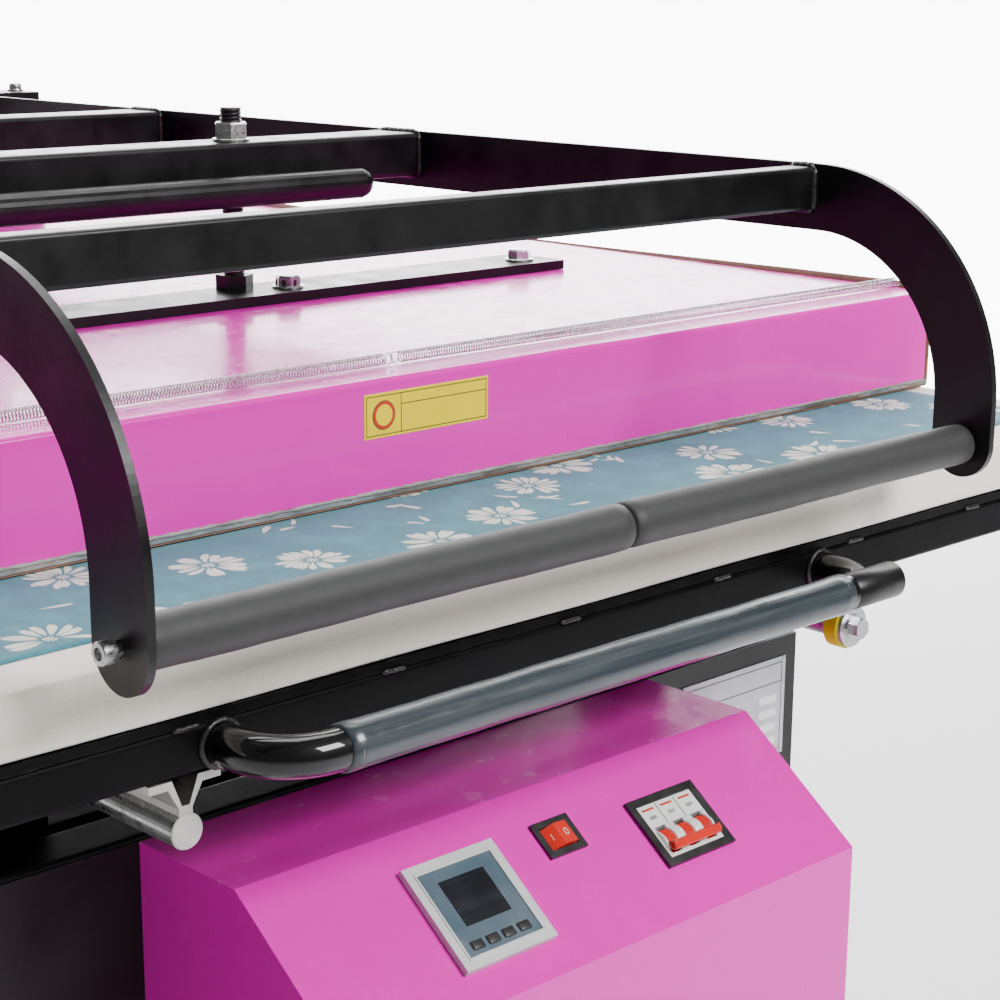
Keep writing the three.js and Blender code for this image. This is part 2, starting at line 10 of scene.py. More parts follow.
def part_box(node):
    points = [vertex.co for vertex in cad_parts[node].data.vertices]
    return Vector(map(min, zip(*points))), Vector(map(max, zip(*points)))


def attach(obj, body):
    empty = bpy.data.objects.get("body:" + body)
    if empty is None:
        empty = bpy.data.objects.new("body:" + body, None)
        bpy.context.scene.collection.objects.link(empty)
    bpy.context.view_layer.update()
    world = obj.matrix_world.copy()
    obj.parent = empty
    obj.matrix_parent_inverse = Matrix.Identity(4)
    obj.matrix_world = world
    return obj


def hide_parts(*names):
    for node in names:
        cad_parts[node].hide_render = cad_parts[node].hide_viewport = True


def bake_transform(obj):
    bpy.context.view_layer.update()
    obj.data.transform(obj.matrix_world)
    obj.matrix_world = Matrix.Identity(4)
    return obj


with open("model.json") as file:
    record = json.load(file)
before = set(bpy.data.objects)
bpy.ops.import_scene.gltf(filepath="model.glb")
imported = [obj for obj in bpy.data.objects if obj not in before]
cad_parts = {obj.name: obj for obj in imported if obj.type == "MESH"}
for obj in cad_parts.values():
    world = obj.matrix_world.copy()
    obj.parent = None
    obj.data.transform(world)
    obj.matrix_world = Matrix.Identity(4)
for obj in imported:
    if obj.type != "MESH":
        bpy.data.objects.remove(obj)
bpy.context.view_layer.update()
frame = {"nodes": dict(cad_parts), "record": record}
NODES = frame["nodes"]
scene = bpy.context.scene

# ---- places, in metres, read from the frame ----
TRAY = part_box("tray_tube_front")
FRONT = TRAY[0].y  # the drawer's front face
RAIL_Z = 0.8  # the axis of the two rails
MM = 0.001
PULL_HALF = 250  # from the middle to each foot of the pull handle, in millimetres


def at(x, depth, height):
    """A point from the middle plane, the drawer's front face and the rail's axis, in millimetres."""
    return Vector((x * MM, FRONT + depth * MM, RAIL_Z + height * MM))


# ---- camera ----
camera_data = bpy.data.cameras.new("camera")
camera_data.lens = 76.38
camera_data.sensor_width = 36.0
camera_data.shift_y = 0.025
camera_data.clip_end = 60
camera = bpy.data.objects.new("camera", camera_data)
scene.collection.objects.link(camera)
camera.matrix_world = Matrix((
    (0.722300, 0.167332, -0.671031, -0.8655),
    (-0.691550, 0.183876, -0.698533, -1.5060),
    (0.006499, 0.968602, 0.248532, 1.2271),
    (0, 0, 0, 1),
))
scene.camera = camera


# ---- material tools ----
class Paint:
    """A node material under construction: object coordinates in metres, one principled shader."""

    def __init__(self, name, color, roughness, metallic=0.0, **sockets):
        self.mat = bpy.data.materials.new(name)
        self.mat.use_nodes = True
        self.nodes, self.links = self.mat.node_tree.nodes, self.mat.node_tree.links
        self.shader = self.nodes["Principled BSDF"]
        self.coords = self.nodes.new("ShaderNodeTexCoord").outputs["Object"]
        self.height = None
        self.color = None
        self.base = (*color, 1)
        sockets |= {"Base_Color": self.base, "Roughness": roughness, "Metallic": metallic}
        for key, value in sockets.items():
            self.shader.inputs[key.replace("_", " ")].default_value = value

    def node(self, kind, **values):
        made = self.nodes.new("ShaderNode" + kind)
        for key, value in values.items():
            made.inputs[key.replace("_", " ")].default_value = value
        return made

    def math(self, op, a, b, clamp=False):
        node = self.node("Math")
        node.operation, node.use_clamp = op, clamp
        for i, value in enumerate((a, b)):
            if isinstance(value, (int, float)):
                node.inputs[i].default_value = value
            else:
                self.links.new(value, node.inputs[i])
        return node.outputs[0]

    def noise(self, scale, detail=4.0, rough=0.55, stretch=None):
        node = self.node("TexNoise", Scale=scale, Detail=detail, Roughness=rough)
        vector = self.coords
        if stretch:
            mapping = self.node("Mapping", Scale=stretch)
            self.links.new(self.coords, mapping.inputs["Vector"])
            vector = mapping.outputs[0]
        self.links.new(vector, node.inputs["Vector"])
        return node.outputs["Fac"]

    def wave(self, scale, direction):
        node = self.node("TexWave", Scale=scale, Distortion=0.0, Detail=0.0)
        node.bands_direction = direction
        self.links.new(self.coords, node.inputs["Vector"])
        return node.outputs["Fac"]

    def ramp(self, value, low, high, out_low=0.0, out_high=1.0):
        node = self.node("MapRange", From_Min=low, From_Max=high, To_Min=out_low, To_Max=out_high)
        self.links.new(value, node.inputs["Value"])
        return node.outputs["Result"]

    def blend(self, factor, color):
        """Puts color over what is there, by factor."""
        node = self.node("Mix")
        node.data_type = "RGBA"
        self.links.new(factor, node.inputs["Factor"])
        if self.color is None:
            node.inputs[6].default_value = self.base
        else:
            self.links.new(self.color, node.inputs[6])
        node.inputs[7].default_value = (*color, 1)
        self.color = node.outputs[2]
        self.links.new(self.color, self.shader.inputs["Base Color"])
        return self

    def mottle(self, color, amount, low, high, *noise):
        """Patches of another colour where the noise is high."""
        return self.blend(self.ramp(self.noise(*noise), low, high, 0, amount), color)

    def specks(self, color, amount, reach, scale):
        """Small round dots of another colour that fade out at reach."""
        node = self.node("TexVoronoi", Scale=scale)
        self.links.new(self.coords, node.inputs["Vector"])
        return self.blend(self.ramp(node.outputs["Distance"], 0.0, reach, amount, 0.0), color)

    def rough(self, low, high, noise, middle=(0.3, 0.7)):
        """Roughness from low to high over the noise's middle span."""
        self.links.new(self.ramp(noise, *middle, low, high), self.shader.inputs["Roughness"])
        return self

    def bump(self, value, distance, strength):
        node = self.node("Bump", Strength=strength, Distance=distance)
        self.links.new(value, node.inputs["Height"])
        if self.height is not None:
            self.links.new(self.height, node.inputs["Normal"])
        self.height = node.outputs["Normal"]
        self.links.new(self.height, self.shader.inputs["Normal"])
        return self

    def grain(self, distance, strength, *noise):
        return self.bump(self.noise(*noise), distance, strength)

    def weave(self, threads, distance):
        """Threads both ways."""
        return self.bump(self.math("ADD", self.wave(threads, "X"), self.wave(threads, "Y")), distance, 0.6)

    def worn_edges(self, color, amount):
        """Lighter paint where an edge is sharp, broken up by noise."""
        bevel = self.node("Bevel", Radius=0.0012)
        bevel.samples = 4
        geometry = self.node("NewGeometry")
        dot = self.node("VectorMath")
        dot.operation = "DOT_PRODUCT"
        self.links.new(bevel.outputs["Normal"], dot.inputs[0])
        self.links.new(geometry.outputs["Normal"], dot.inputs[1])
        edge = self.ramp(dot.outputs["Value"], 0.97, 0.80)
        broken = self.ramp(self.noise(60, 6), 0.5, 0.7)
        return self.blend(self.math("MULTIPLY", self.math("MULTIPLY", edge, broken), amount, True), color)


def black_paint(name, specular=0.30, coat=0.10, coat_roughness=0.25):
    p = Paint(name, (0.0022, 0.0022, 0.0026), 0.44, Coat_Weight=coat, Coat_Roughness=coat_roughness,
              Specular_IOR_Level=specular)
    p.mottle((0.005, 0.005, 0.0055), 0.5, 0.45, 0.75, 9, 5)
    p.specks((0.03, 0.03, 0.03), 0.3, 0.12, 420)
    p.rough(0.28, 0.5, p.noise(35, 5))
    p.grain(0.00012, 0.5, 900, 3).grain(0.0003, 0.35, 160, 2)
    return p.worn_edges((0.16, 0.16, 0.16), 0.35)


def pink_paint():
    p = Paint("pink_powder_coat", (0.80, 0.0, 0.46), 0.28, Coat_Weight=0.20, Coat_Roughness=0.06,
              Specular_IOR_Level=0.25)
    p.mottle((0.86, 0.0, 0.50), 0.35, 0.35, 0.7, 4, 3)
    p.specks((0.82, 0.05, 0.56), 0.12, 0.08, 650)
    p.rough(0.16, 0.30, p.noise(50, 4))
    p.grain(0.00022, 0.45, 380, 2).grain(0.0006, 0.25, 70, 2)
    return p.worn_edges((0.80, 0.28, 0.66), 0.4)


def zinc(name, color, roughness):
    p = Paint(name, color, roughness, 1.0)
    p.mottle((0.42, 0.43, 0.45), 0.6, 0.4, 0.7, 140, 5)
    p.mottle((0.66, 0.62, 0.52), 0.4, 0.5, 0.75, 25, 3)
    p.rough(roughness - 0.08, roughness + 0.2, p.noise(300, 4))
    return p.grain(0.00006, 0.5, 700, 3)


def rail_metal():
    """Ground steel for the shaft and extruded aluminium for the support over it."""
    p = Paint("rail_metal", (0.62, 0.62, 0.61), 0.25, 1.0)
    height = p.node("SeparateXYZ")
    p.links.new(p.coords, height.inputs[0])
    support = p.ramp(height.outputs[2], RAIL_Z + 0.0087, RAIL_Z + 0.0093)
    p.blend(support, (0.52, 0.51, 0.48))
    p.mottle((0.30, 0.29, 0.26), 0.7, 0.52, 0.74, 45, 6)
    p.mottle((0.74, 0.73, 0.70), 0.4, 0.5, 0.75, 220, 3, 0.55, (1, 0.04, 1))
    gloss = p.ramp(p.noise(120, 4), 0.3, 0.7, 0.22, 0.36)
    duller = p.math("MULTIPLY", support, 0.18)
    p.links.new(p.math("ADD", gloss, duller), p.shader.inputs["Roughness"])
    return p.grain(0.0001, 0.5, 500, 3, 0.55, (1, 0.03, 1))


def aluminium():
    p = Paint("aluminium", (0.55, 0.55, 0.53), 0.42, 0.9)
    p.mottle((0.28, 0.26, 0.23), 0.8, 0.5, 0.7, 60, 6)
    p.mottle((0.19, 0.13, 0.09), 0.8, 0.52, 0.66, 14, 5)
    p.rough(0.35, 0.62, p.noise(90, 5))
    return p.grain(0.0004, 0.6, 260, 5)


def felt():
    p = Paint("felt", (0.95, 0.90, 0.77), 0.95, Sheen_Weight=0.5, Sheen_Roughness=0.6)
    p.mottle((0.98, 0.95, 0.86), 0.6, 0.4, 0.68, 300, 6)
    p.mottle((0.76, 0.68, 0.52), 0.35, 0.5, 0.75, 7, 4)
    return p.grain(0.0006, 0.7, 900, 6, 0.7).grain(0.0010, 0.5, 120, 5, 0.55, (1, 1, 3))


def cloth():
    p = Paint("printed_cloth", (0.026, 0.190, 0.245), 0.85, Sheen_Weight=0.25, Sheen_Roughness=0.5)
    p.mottle((0.060, 0.29, 0.35), 0.75, 0.42, 0.68, 38, 6, 0.65)
    p.mottle((0.012, 0.13, 0.19), 0.5, 0.5, 0.72, 170, 4, 0.7)
    return p.weave(900, 0.00008).grain(0.0002, 0.4, 500, 4)


def petals():
    p = Paint("printed_petals", (0.80, 0.79, 0.68), 0.85, Sheen_Weight=0.2, Sheen_Roughness=0.5)
    return p.mottle((0.62, 0.68, 0.62), 0.6, 0.42, 0.70, 260, 4).weave(900, 0.00008)


def release_cloth():
    p = Paint("release_cloth", (0.20, 0.085, 0.045), 0.5, Coat_Weight=0.3, Coat_Roughness=0.3)
    p.mottle((0.30, 0.15, 0.09), 0.7, 0.42, 0.7, 26, 5)
    p.mottle((0.08, 0.04, 0.03), 0.7, 0.6, 0.75, 90, 4)
    return p.weave(420, 0.00012)


def foam():
    p = Paint("grip_foam", (0.012, 0.0122, 0.0125), 0.62, Sheen_Weight=0.05, Sheen_Roughness=0.7)
    p.mottle((0.024, 0.025, 0.026), 0.2, 0.45, 0.72, 90, 5, 0.6, (0.15, 1, 1))
    p.specks((0.02, 0.02, 0.02), 0.6, 0.16, 900)
    p.rough(0.58, 0.64, p.noise(120, 4))
    return p.grain(0.00016, 0.6, 1400, 4).grain(0.00006, 0.2, 240, 3, 0.55, (0.1, 1, 1))


def film():
    p = Paint("wrapped_film", (0.018, 0.027, 0.034), 0.38, Coat_Weight=0.35, Coat_Roughness=0.2)
    p.mottle((0.055, 0.07, 0.082), 0.6, 0.46, 0.68, 260, 5, 0.6, (0.02, 1, 1))
    p.mottle((0.20, 0.24, 0.26), 0.35, 0.60, 0.72, 90, 4, 0.6, (0.05, 1, 1))
    p.rough(0.2, 0.5, p.noise(200, 4, 0.5, (0.05, 1, 1)))
    return p.grain(0.0006, 0.6, 180, 4, 0.6, (0.04, 1, 1))


def plain(name, color, roughness, mottle, depth=0.00012, scale=300, **sockets):
    """Moulded plastic, rubber, paint or ink: a mottled tone, uneven gloss and fine grain."""
    p = Paint(name, color, roughness, **sockets)
    p.mottle(mottle, 0.7, 0.42, 0.7, scale / 6, 5)
    p.rough(max(0.05, roughness - 0.08), roughness + 0.12, p.noise(scale / 3, 4))
    return p.grain(depth, 0.5, scale * 3, 3)


def screen():
    p = Paint("screen_filter", (0.012, 0.013, 0.016), 0.08, Coat_Weight=1.0, Coat_Roughness=0.03)
    p.mottle((0.03, 0.035, 0.042), 0.5, 0.4, 0.7, 40, 3)
    p.rough(0.06, 0.2, p.noise(150, 4), (0.4, 0.75))
    return p.grain(0.0001, 0.3, 60, 2)


MATERIAL = {
    "black_paint": black_paint("black_powder_coat"),
    "pink_paint": pink_paint(),
    "steel": zinc("zinc_plate", (0.60, 0.61, 0.62), 0.28),
    "rail": rail_metal(),
    "spring_steel": zinc("spring_steel", (0.70, 0.70, 0.71), 0.2),
    "aluminium": aluminium(),
    "foam": foam(),
    "sleeve": film(),
    "felt": felt(),
    "cloth": cloth(),
    "petals": petals(),
    "release": release_cloth(),
    "yellow": plain("polyurethane", (0.80, 0.66, 0.0), 0.4, (0.74, 0.58, 0.0), Specular_IOR_Level=0.3),
    "grey_plastic": plain("grey_plastic", (0.60, 0.61, 0.60), 0.42, (0.50, 0.51, 0.50)),
    "screen": screen(),
    "panel_film": plain("panel_film", (0.075, 0.115, 0.150), 0.22, (0.13, 0.17, 0.20), 0.0002, 120,
                        Coat_Weight=0.4),
    "drawer_black": black_paint("drawer_powder_coat", 0.08, 0.0),
    "gloss_black": black_paint("gloss_powder_coat", 0.10, 0.9, 0.05),
    "white_plastic": plain("white_plastic", (0.80, 0.80, 0.79), 0.35, (0.72, 0.72, 0.71)),
    "black_plastic": plain("black_plastic", (0.014, 0.014, 0.014), 0.35, (0.03, 0.03, 0.03)),
    "red_plastic": plain("red_plastic", (0.74, 0.022, 0.012), 0.22, (0.62, 0.012, 0.008),
                         Coat_Weight=0.6, Coat_Roughness=0.05, Subsurface_Weight=0.15),
    "plate_metal": plain("plate_metal", (0.50, 0.53, 0.55), 0.4, (0.40, 0.43, 0.45)),
    "print_ink": plain("print_ink", (0.02, 0.02, 0.02), 0.5, (0.05, 0.05, 0.05)),
    "yellow_label": plain("yellow_label", (0.90, 0.68, 0.0), 0.5, (0.84, 0.60, 0.0), Specular_IOR_Level=0.1),
    "red_ink": plain("red_ink", (0.60, 0.03, 0.01), 0.4, (0.45, 0.02, 0.01)),
    "white_ink": plain("white_ink", (0.82, 0.82, 0.80), 0.4, (0.70, 0.70, 0.68)),
    "weld": plain("painted_weld", (0.004, 0.004, 0.004), 0.42, (0.012, 0.012, 0.012), 0.0004,
                  Coat_Weight=0.1),
    "bare_cut": plain("bare_cut", (0.62, 0.60, 0.55), 0.5, (0.45, 0.43, 0.39), 0.0003),
    "sealant": plain("sealant", (0.33, 0.32, 0.30), 0.6, (0.12, 0.10, 0.09), 0.0005),
}


# ---- mesh tools ----
def new_object(name, bm, material, body=None, flat=False, extra=()):
    mesh = bpy.data.meshes.new(name)
    bmesh.ops.recalc_face_normals(bm, faces=bm.faces)
    bm.to_mesh(mesh)
    bm.free()
    obj = bpy.data.objects.new(name, mesh)
    scene.collection.objects.link(obj)
    for key in (material, *extra):
        mesh.materials.append(MATERIAL[key].mat)
    mesh.polygons.foreach_set("use_smooth", [not flat] * len(mesh.polygons))
    if body:
        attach(obj, body)
    return obj


def angles(count):
    """Angles once round a circle."""
    return [2 * math.pi * i / count for i in range(count)]


def ring_solid(bm, rings, closed=False, material=0):
    """Skins rings of points into a tube, with flat caps unless it is closed on itself."""
    rows = [[bm.verts.new(p) for p in ring] for ring in rings]
    count = len(rows[0])
    pairs = list(zip(rows, rows[1:])) + ([(rows[-1], rows[0])] if closed else [])
    for a, b in pairs:
        for i in range(count):
            j = (i + 1) % count
            bm.faces.new((a[i], a[j], b[j], b[i])).material_index = material
    if not closed:
        bm.faces.new(rows[0][::-1]).material_index = material
        bm.faces.new(rows[-1]).material_index = material


def skin_grid(bm, grid):
    """Faces between rows of vertices."""
    for a, b in zip(grid, grid[1:]):
        for i in range(len(a) - 1):
            bm.faces.new((a[i], a[i + 1], b[i + 1], b[i]))


def thicken(obj, thickness):
    solidify = obj.modifiers.new("thickness", "SOLIDIFY")
    solidify.thickness, solidify.offset = thickness, 0.0


def frame_of(axis):
    axis = Vector(axis).normalized()
    side = axis.orthogonal().normalized()
    return axis, side, axis.cross(side)


def lathe(bm, origin, axis, profile, sides=32, material=0, start=0.0):
    """Turns (along, radius) pairs in metres about an axis. A hexagon is six sides."""
    axis, u, v = frame_of(axis)
    turns = [start + t for t in angles(sides)]
    rings = [
        [origin + axis * a + (u * math.cos(t) + v * math.sin(t)) * r for t in turns]
        for a, r in profile
    ]
    ring_solid(bm, rings, material=material)


def hex_bolt(bm, origin, axis, across, height, washer, start):
    """A chamfered hex head on a washer, sizes in millimetres."""
    a, w, h = across / 2 * MM, washer * MM, height * MM
    lathe(bm, origin, axis, [(0, w * 0.98), (0.0003, w), (0.0017, w), (0.002, w * 0.97)], 36)
    corner = a / math.cos(math.pi / 6)
    top = Vector(axis).normalized()
    head = [(0, corner), (h * 0.8, corner), (h, corner * 0.88)]
    lathe(bm, origin + top * 0.002, axis, head, 6, start=start)
    lathe(bm, origin + top * (0.002 + h * 0.92), axis, [(0, a * 0.96), (h * 0.12, a * 0.9)], 30)


def sweep(points, radius, sides=12, bm=None, closed=False):
    """A tube of one radius, or of a radius for each point, along points, turned as little as possible."""
    own = bm is None
    bm = bm or bmesh.new()
    points = [Vector(p) for p in points]
    count = len(points)
    tangent = (points[1] - points[0]).normalized()
    side = tangent.orthogonal().normalized()
    rings = []
    for i, p in enumerate(points):
        before, after = points[max(i - 1, 0)], points[min(i + 1, count - 1)]
        if closed:
            before, after = points[i - 1], points[(i + 1) % count]
        now = (after - before).normalized()
        side = (side - now * side.dot(now)).normalized()
        other = now.cross(side)
        r = radius[i] if hasattr(radius, "__len__") else radius
        rings.append([p + (side * math.cos(t) + other * math.sin(t)) * r for t in angles(sides)])
    ring_solid(bm, rings, closed)
    return bm if own else None


def weld(bm, start, end, radius, seed):
    """A rippled weld bead from one point to another, radius in millimetres."""
    rng = random.Random(seed)
    start, end = Vector(start), Vector(end)
    length = (end - start).length
    count = max(8, int(length / 0.0011))
    points, radii = [], []
    for i in range(count + 1):
        s = i / count
        wobble = Vector((rng.uniform(-1, 1), rng.uniform(-1, 1), rng.uniform(-1, 1))) * 0.00025
        points.append(start.lerp(end, s) + wobble)
        ends = min(1.0, math.sqrt(max(0.02, min(s, 1 - s) * 8)))
        radii.append(radius * MM * ends * (0.82 + 0.18 * abs(math.sin(i * 1.3)) + rng.uniform(-0.05, 0.05)))
    sweep(points, radii, 10, bm)


def helix(a, b, radius, pitch, per_turn):
    """Points of a coil from a to b."""
    axis, u, v = frame_of(b - a)
    length = (b - a).length
    count = int(length / pitch * per_turn)
    for i in range(count + 1):
        t = 2 * math.pi * i / per_turn
        yield a + axis * (length * i / count) + (u * math.cos(t) + v * math.sin(t)) * radius


def wire_object(name, splines, thickness, material):
    data = bpy.data.curves.new(name, "CURVE")
    data.dimensions = "3D"
    data.bevel_depth = thickness / 2
    data.bevel_resolution = 1
    data.use_fill_caps = True
    for points in splines:
        points = list(points)
        spline = data.splines.new("POLY")
        spline.points.add(len(points) - 1)
        spline.points.foreach_set("co", [c for p in points for c in (*p, 1.0)])
    data.materials.append(MATERIAL[material].mat)
    obj = bpy.data.objects.new(name, data)
    scene.collection.objects.link(obj)
    return obj


def merge(bm, piece):
    """Adds one bmesh to another."""
    mesh = bpy.data.meshes.new("piece")
    piece.to_mesh(mesh)
    piece.free()
    bm.from_mesh(mesh)
    bpy.data.meshes.remove(mesh)


def rounded_box(bm, low, high, radius, segments=3, material=0):
    """A box with every edge rounded."""
    low, high = Vector(low), Vector(high)
    made = bmesh.ops.create_cube(bm, size=1.0)["verts"]
    centre, size = (low + high) / 2, high - low
    for v in made:
        v.co = Vector(c * s for c, s in zip(v.co, size)) + centre
    edges = list(dict.fromkeys(e for v in made for e in v.link_edges))
    bevel = bmesh.ops.bevel(bm, geom=edges, offset=radius, segments=segments, affect="EDGES", profile=0.5)
    for face in {f for v in bevel["verts"] for f in v.link_faces}:
        face.material_index = material


# ---- carried CAD nodes: materials, and rounded edges with widths in millimetres ----
SMALL = ("rocker", "breaker", "controller", "nameplate", "stop_bolt", "rail_left", "rail_right")
THIN = ("control_box", "bearing_", "tray_", "crossbar", "lower_", "front_panel", "nameplate", "rail_")
SMALL_EDGE, THIN_EDGE, BAR_EDGE = 0.3, 0.8, 1.2
REPLACED = ("platen_cover", "release_sheet", "sheet_spring_", "counter_spring_", "felt_pad", "work_sheet",
            "pull_", "grip_foam_")


def soften(node, width, segments):
    """Rounds a CAD node's sharp edges when it is drawn."""
    obj = NODES[node]
    bevel = obj.modifiers.new("rounded", "BEVEL")
    bevel.width, bevel.segments, bevel.limit_method = width * MM, segments, "ANGLE"
    bevel.angle_limit = math.radians(35)
    bevel.harden_normals = True
    obj.data.polygons.foreach_set("use_smooth", [True] * len(obj.data.polygons))


for row in frame["record"]["subparts"]:
    node, name = row["node"], row["material_slot"]
    if node.startswith("rail_") and "beam" not in node:
        name = "rail"
    if node.startswith("tray_"):
        name = "drawer_black"
    NODES[node].data.materials.clear()
    NODES[node].data.materials.append(MATERIAL[name].mat)
    if node.startswith(SMALL):
        soften(node, SMALL_EDGE, 2)
    elif not node.startswith(REPLACED):
        soften(node, THIN_EDGE if node.startswith(THIN) else BAR_EDGE, 3)


# ---- head: cover, release cloth, springs ----
def plan_loop(low, high, inset, radius, spacing, wave, seed):
    """Points of a rounded rectangle seen from above, at z 0, pushed in and out a little."""
    x0, x1, y0, y1 = low.x + inset, high.x - inset, low.y + inset, high.y - inset
    r = max(radius - inset, 0.0005)
    points = []
    corners = ((x1 - r, y0 + r, -90), (x1 - r, y1 - r, 0), (x0 + r, y1 - r, 90), (x0 + r, y0 + r, 180))
    for k, (cx, cy, start) in enumerate(corners):
        for i in range(7):
            t = math.radians(start + 15 * i)
            points.append(Vector((cx + r * math.cos(t), cy + r * math.sin(t), 0)))
        nx, ny, nstart = corners[(k + 1) % 4]
        t = math.radians(nstart)
        target = Vector((nx + r * math.cos(t), ny + r * math.sin(t), 0))
        here = points[-1]
        count = int(((high - low).y if k % 2 == 0 else (high - low).x) / spacing)
        points.extend(here.lerp(target, i / count) for i in range(1, count))
    if wave:
        centre = (low + high) / 2
        for p in points:
            push = wave * (math.sin(p.x * 23 + seed) * math.cos(p.y * 19 + seed * 2) - 1) / 2
            dx, dy = p.x - centre.x, p.y - centre.y
            p.x += math.copysign(push, dx) if abs(dy) < (y1 - y0) / 2 - 0.01 else 0
            p.y += math.copysign(push, dy) if abs(p.x - centre.x) < (x1 - x0) / 2 - 0.01 else 0
    return points


def slab(bm, low, high, radius, levels, spacing, wave=0.0):
    """A closed slab from (inset, height) levels in millimetres."""
    rings = []
    for k, (inset, height) in enumerate(levels):
        loop = plan_loop(low, high, inset * MM, radius * MM, spacing, wave, 0.6 * k)
        rings.append([Vector((p.x, p.y, low.z + height * MM)) for p in loop])
    ring_solid(bm, rings)


def make_cover():
    """A sheet-metal cover with a rounded top edge, open below."""
    low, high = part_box("platen_cover")
    tall = (high.z - low.z) / MM
    levels = [(2, 0), (0.3, 0), (0, 0.4), (0, 12), (0, tall - 5)]
    quarter = [math.radians(15 * i) for i in range(7)]
    levels += [(4 * (1 - math.cos(t)), tall - 4 + 4 * math.sin(t)) for t in quarter]
    levels += [(12, tall + 0.02)]
    bm = bmesh.new()
    slab(bm, low, high, 5, levels, 0.02)
    cover = new_object("cover_shell", bm, "pink_paint", "head")
    hollow = bpy.data.meshes.new("cover_hollow")
    sheet = 0.002
    bm = bmesh.new()
    slab(bm, low + Vector((sheet, sheet, -0.01)), high - Vector((sheet, sheet, 0.0)), 4,
         [(0, 0), (0, tall + 8), (3, tall + 8.2)], 0.05)
    bmesh.ops.recalc_face_normals(bm, faces=bm.faces)
    bm.to_mesh(hollow)
    bm.free()
    tool = bpy.data.objects.new("cover_hollow", hollow)
    scene.collection.objects.link(tool)
    cut = cover.modifiers.new("hollow", "BOOLEAN")
    cut.object, cut.operation, cut.solver = tool, "DIFFERENCE", "EXACT"
    depsgraph = bpy.context.evaluated_depsgraph_get()
    mesh = bpy.data.meshes.new_from_object(cover.evaluated_get(depsgraph))
    cover.modifiers.clear()
    cover.data = mesh
    bpy.data.objects.remove(tool)
    weighted = cover.modifiers.new("flat_faces", "WEIGHTED_NORMAL")
    weighted.keep_sharp = True
    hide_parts("platen_cover")


def make_label():
    """A blank yellow label with a black border and a plain red ring."""
    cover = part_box("platen_cover")[0].y
    low, high = at(-6, 172, 140.5), at(103, 172, 170)
    y0 = cover - 0.0003
    yellow, black, red = 0, 1, 2
    margin, line, field = 0.0016, 0.0007, 0.031
    bm = bmesh.new()

    def patch(x0, x1, z0, z1, lift, material):
        rounded_box(bm, (x0, y0 - lift, z0), (x1, cover + 0.0001, z1), 0.0002, 1, material)

    patch(low.x, high.x, low.z, high.z, 0, yellow)
    for z in (low.z + margin, high.z - margin - line):
        patch(low.x + margin, high.x - margin, z, z + line, 0.0002, black)
    for x in (low.x + margin, high.x - margin - line, low.x + field):
        patch(x, x + line, low.z + margin, high.z - margin, 0.0002, black)
    patch(low.x + field, high.x - margin, high.z - 0.0095, high.z - 0.0088, 0.0002, black)
    centre = Vector((low.x + 0.0165, y0 - 0.0001, (low.z + high.z) / 2))
    for radius, material, lift in ((0.0096, black, 0.0001), (0.0090, red, 0.0002), (0.0070, yellow, 0.0003)):
        profile = [(0, radius), (lift, radius), (lift + 0.00005, radius * 0.98)]
        lathe(bm, centre, (0, -1, 0), profile, 40, material)
    new_object("blank_label", bm, "yellow_label", "head", True, ("print_ink", "red_ink"))


def make_sealant():
    low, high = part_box("platen_cover")
    rng = random.Random(4)
    bm = bmesh.new()
    for y in (low.y - 0.0001, high.y + 0.0001):
        points, radii = [], []
        for i in range(400):
            x = low.x + 0.003 + (high.x - low.x - 0.006) * i / 399
            points.append(Vector((x, y, low.z - 0.0006 + rng.uniform(-0.0003, 0.0003))))
            radii.append(0.0011 + rng.uniform(-0.0004, 0.0005))
        sweep(points, radii, 8, bm)
    new_object("sealant_bead", bm, "sealant", "head")


def make_release_cloth():
    """One cloth under the platen, turned up at its left and right sides."""
    low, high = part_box("release_sheet")
    x0, x1, z0, z1 = low.x + 0.0008, high.x - 0.0008, low.z + 0.0008, high.z - 0.001
    r = 0.003
    bend = [math.radians(18 * i) for i in range(1, 6)]
    path = [(x0, z1 - (z1 - z0 - r) * i / 12) for i in range(13)]
    path += [(x0 + r - r * math.cos(t), z0 + r - r * math.sin(t)) for t in bend]
    side = len(path)
    path += [(x0 + r + (x1 - x0 - 2 * r) * i / 60, z0) for i in range(1, 60)]
    path += [(x0 + x1 - x, z) for x, z in reversed(path[:side])]
    rows = 52
    bm = bmesh.new()
    grid = []
    for j in range(rows + 1):
        y = low.y + (high.y - low.y) * j / rows
        row = []
        for x, z in path:
            up = max(0.0, (z - z0) / (z1 - z0))
            ripple = 0.0009 * up * math.sin(y * 31 + (2 if x < 0 else 0)) * (1 - 0.4 * math.cos(y * 83))
            sag = 0.004 * up ** 3 * (0.5 - 0.5 * math.cos(2 * math.pi * (y - low.y) / (high.y - low.y)))
            row.append(bm.verts.new((x + math.copysign(abs(ripple) * 0.5, x), y, z - sag)))
        grid.append(row)
    skin_grid(bm, grid)
    cloth = new_object("release_cloth", bm, "release", "head")
    thicken(cloth, 0.0006)
    lengths = [math.dist(a, b) for a, b in zip(path, path[1:])]
    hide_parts("release_sheet")


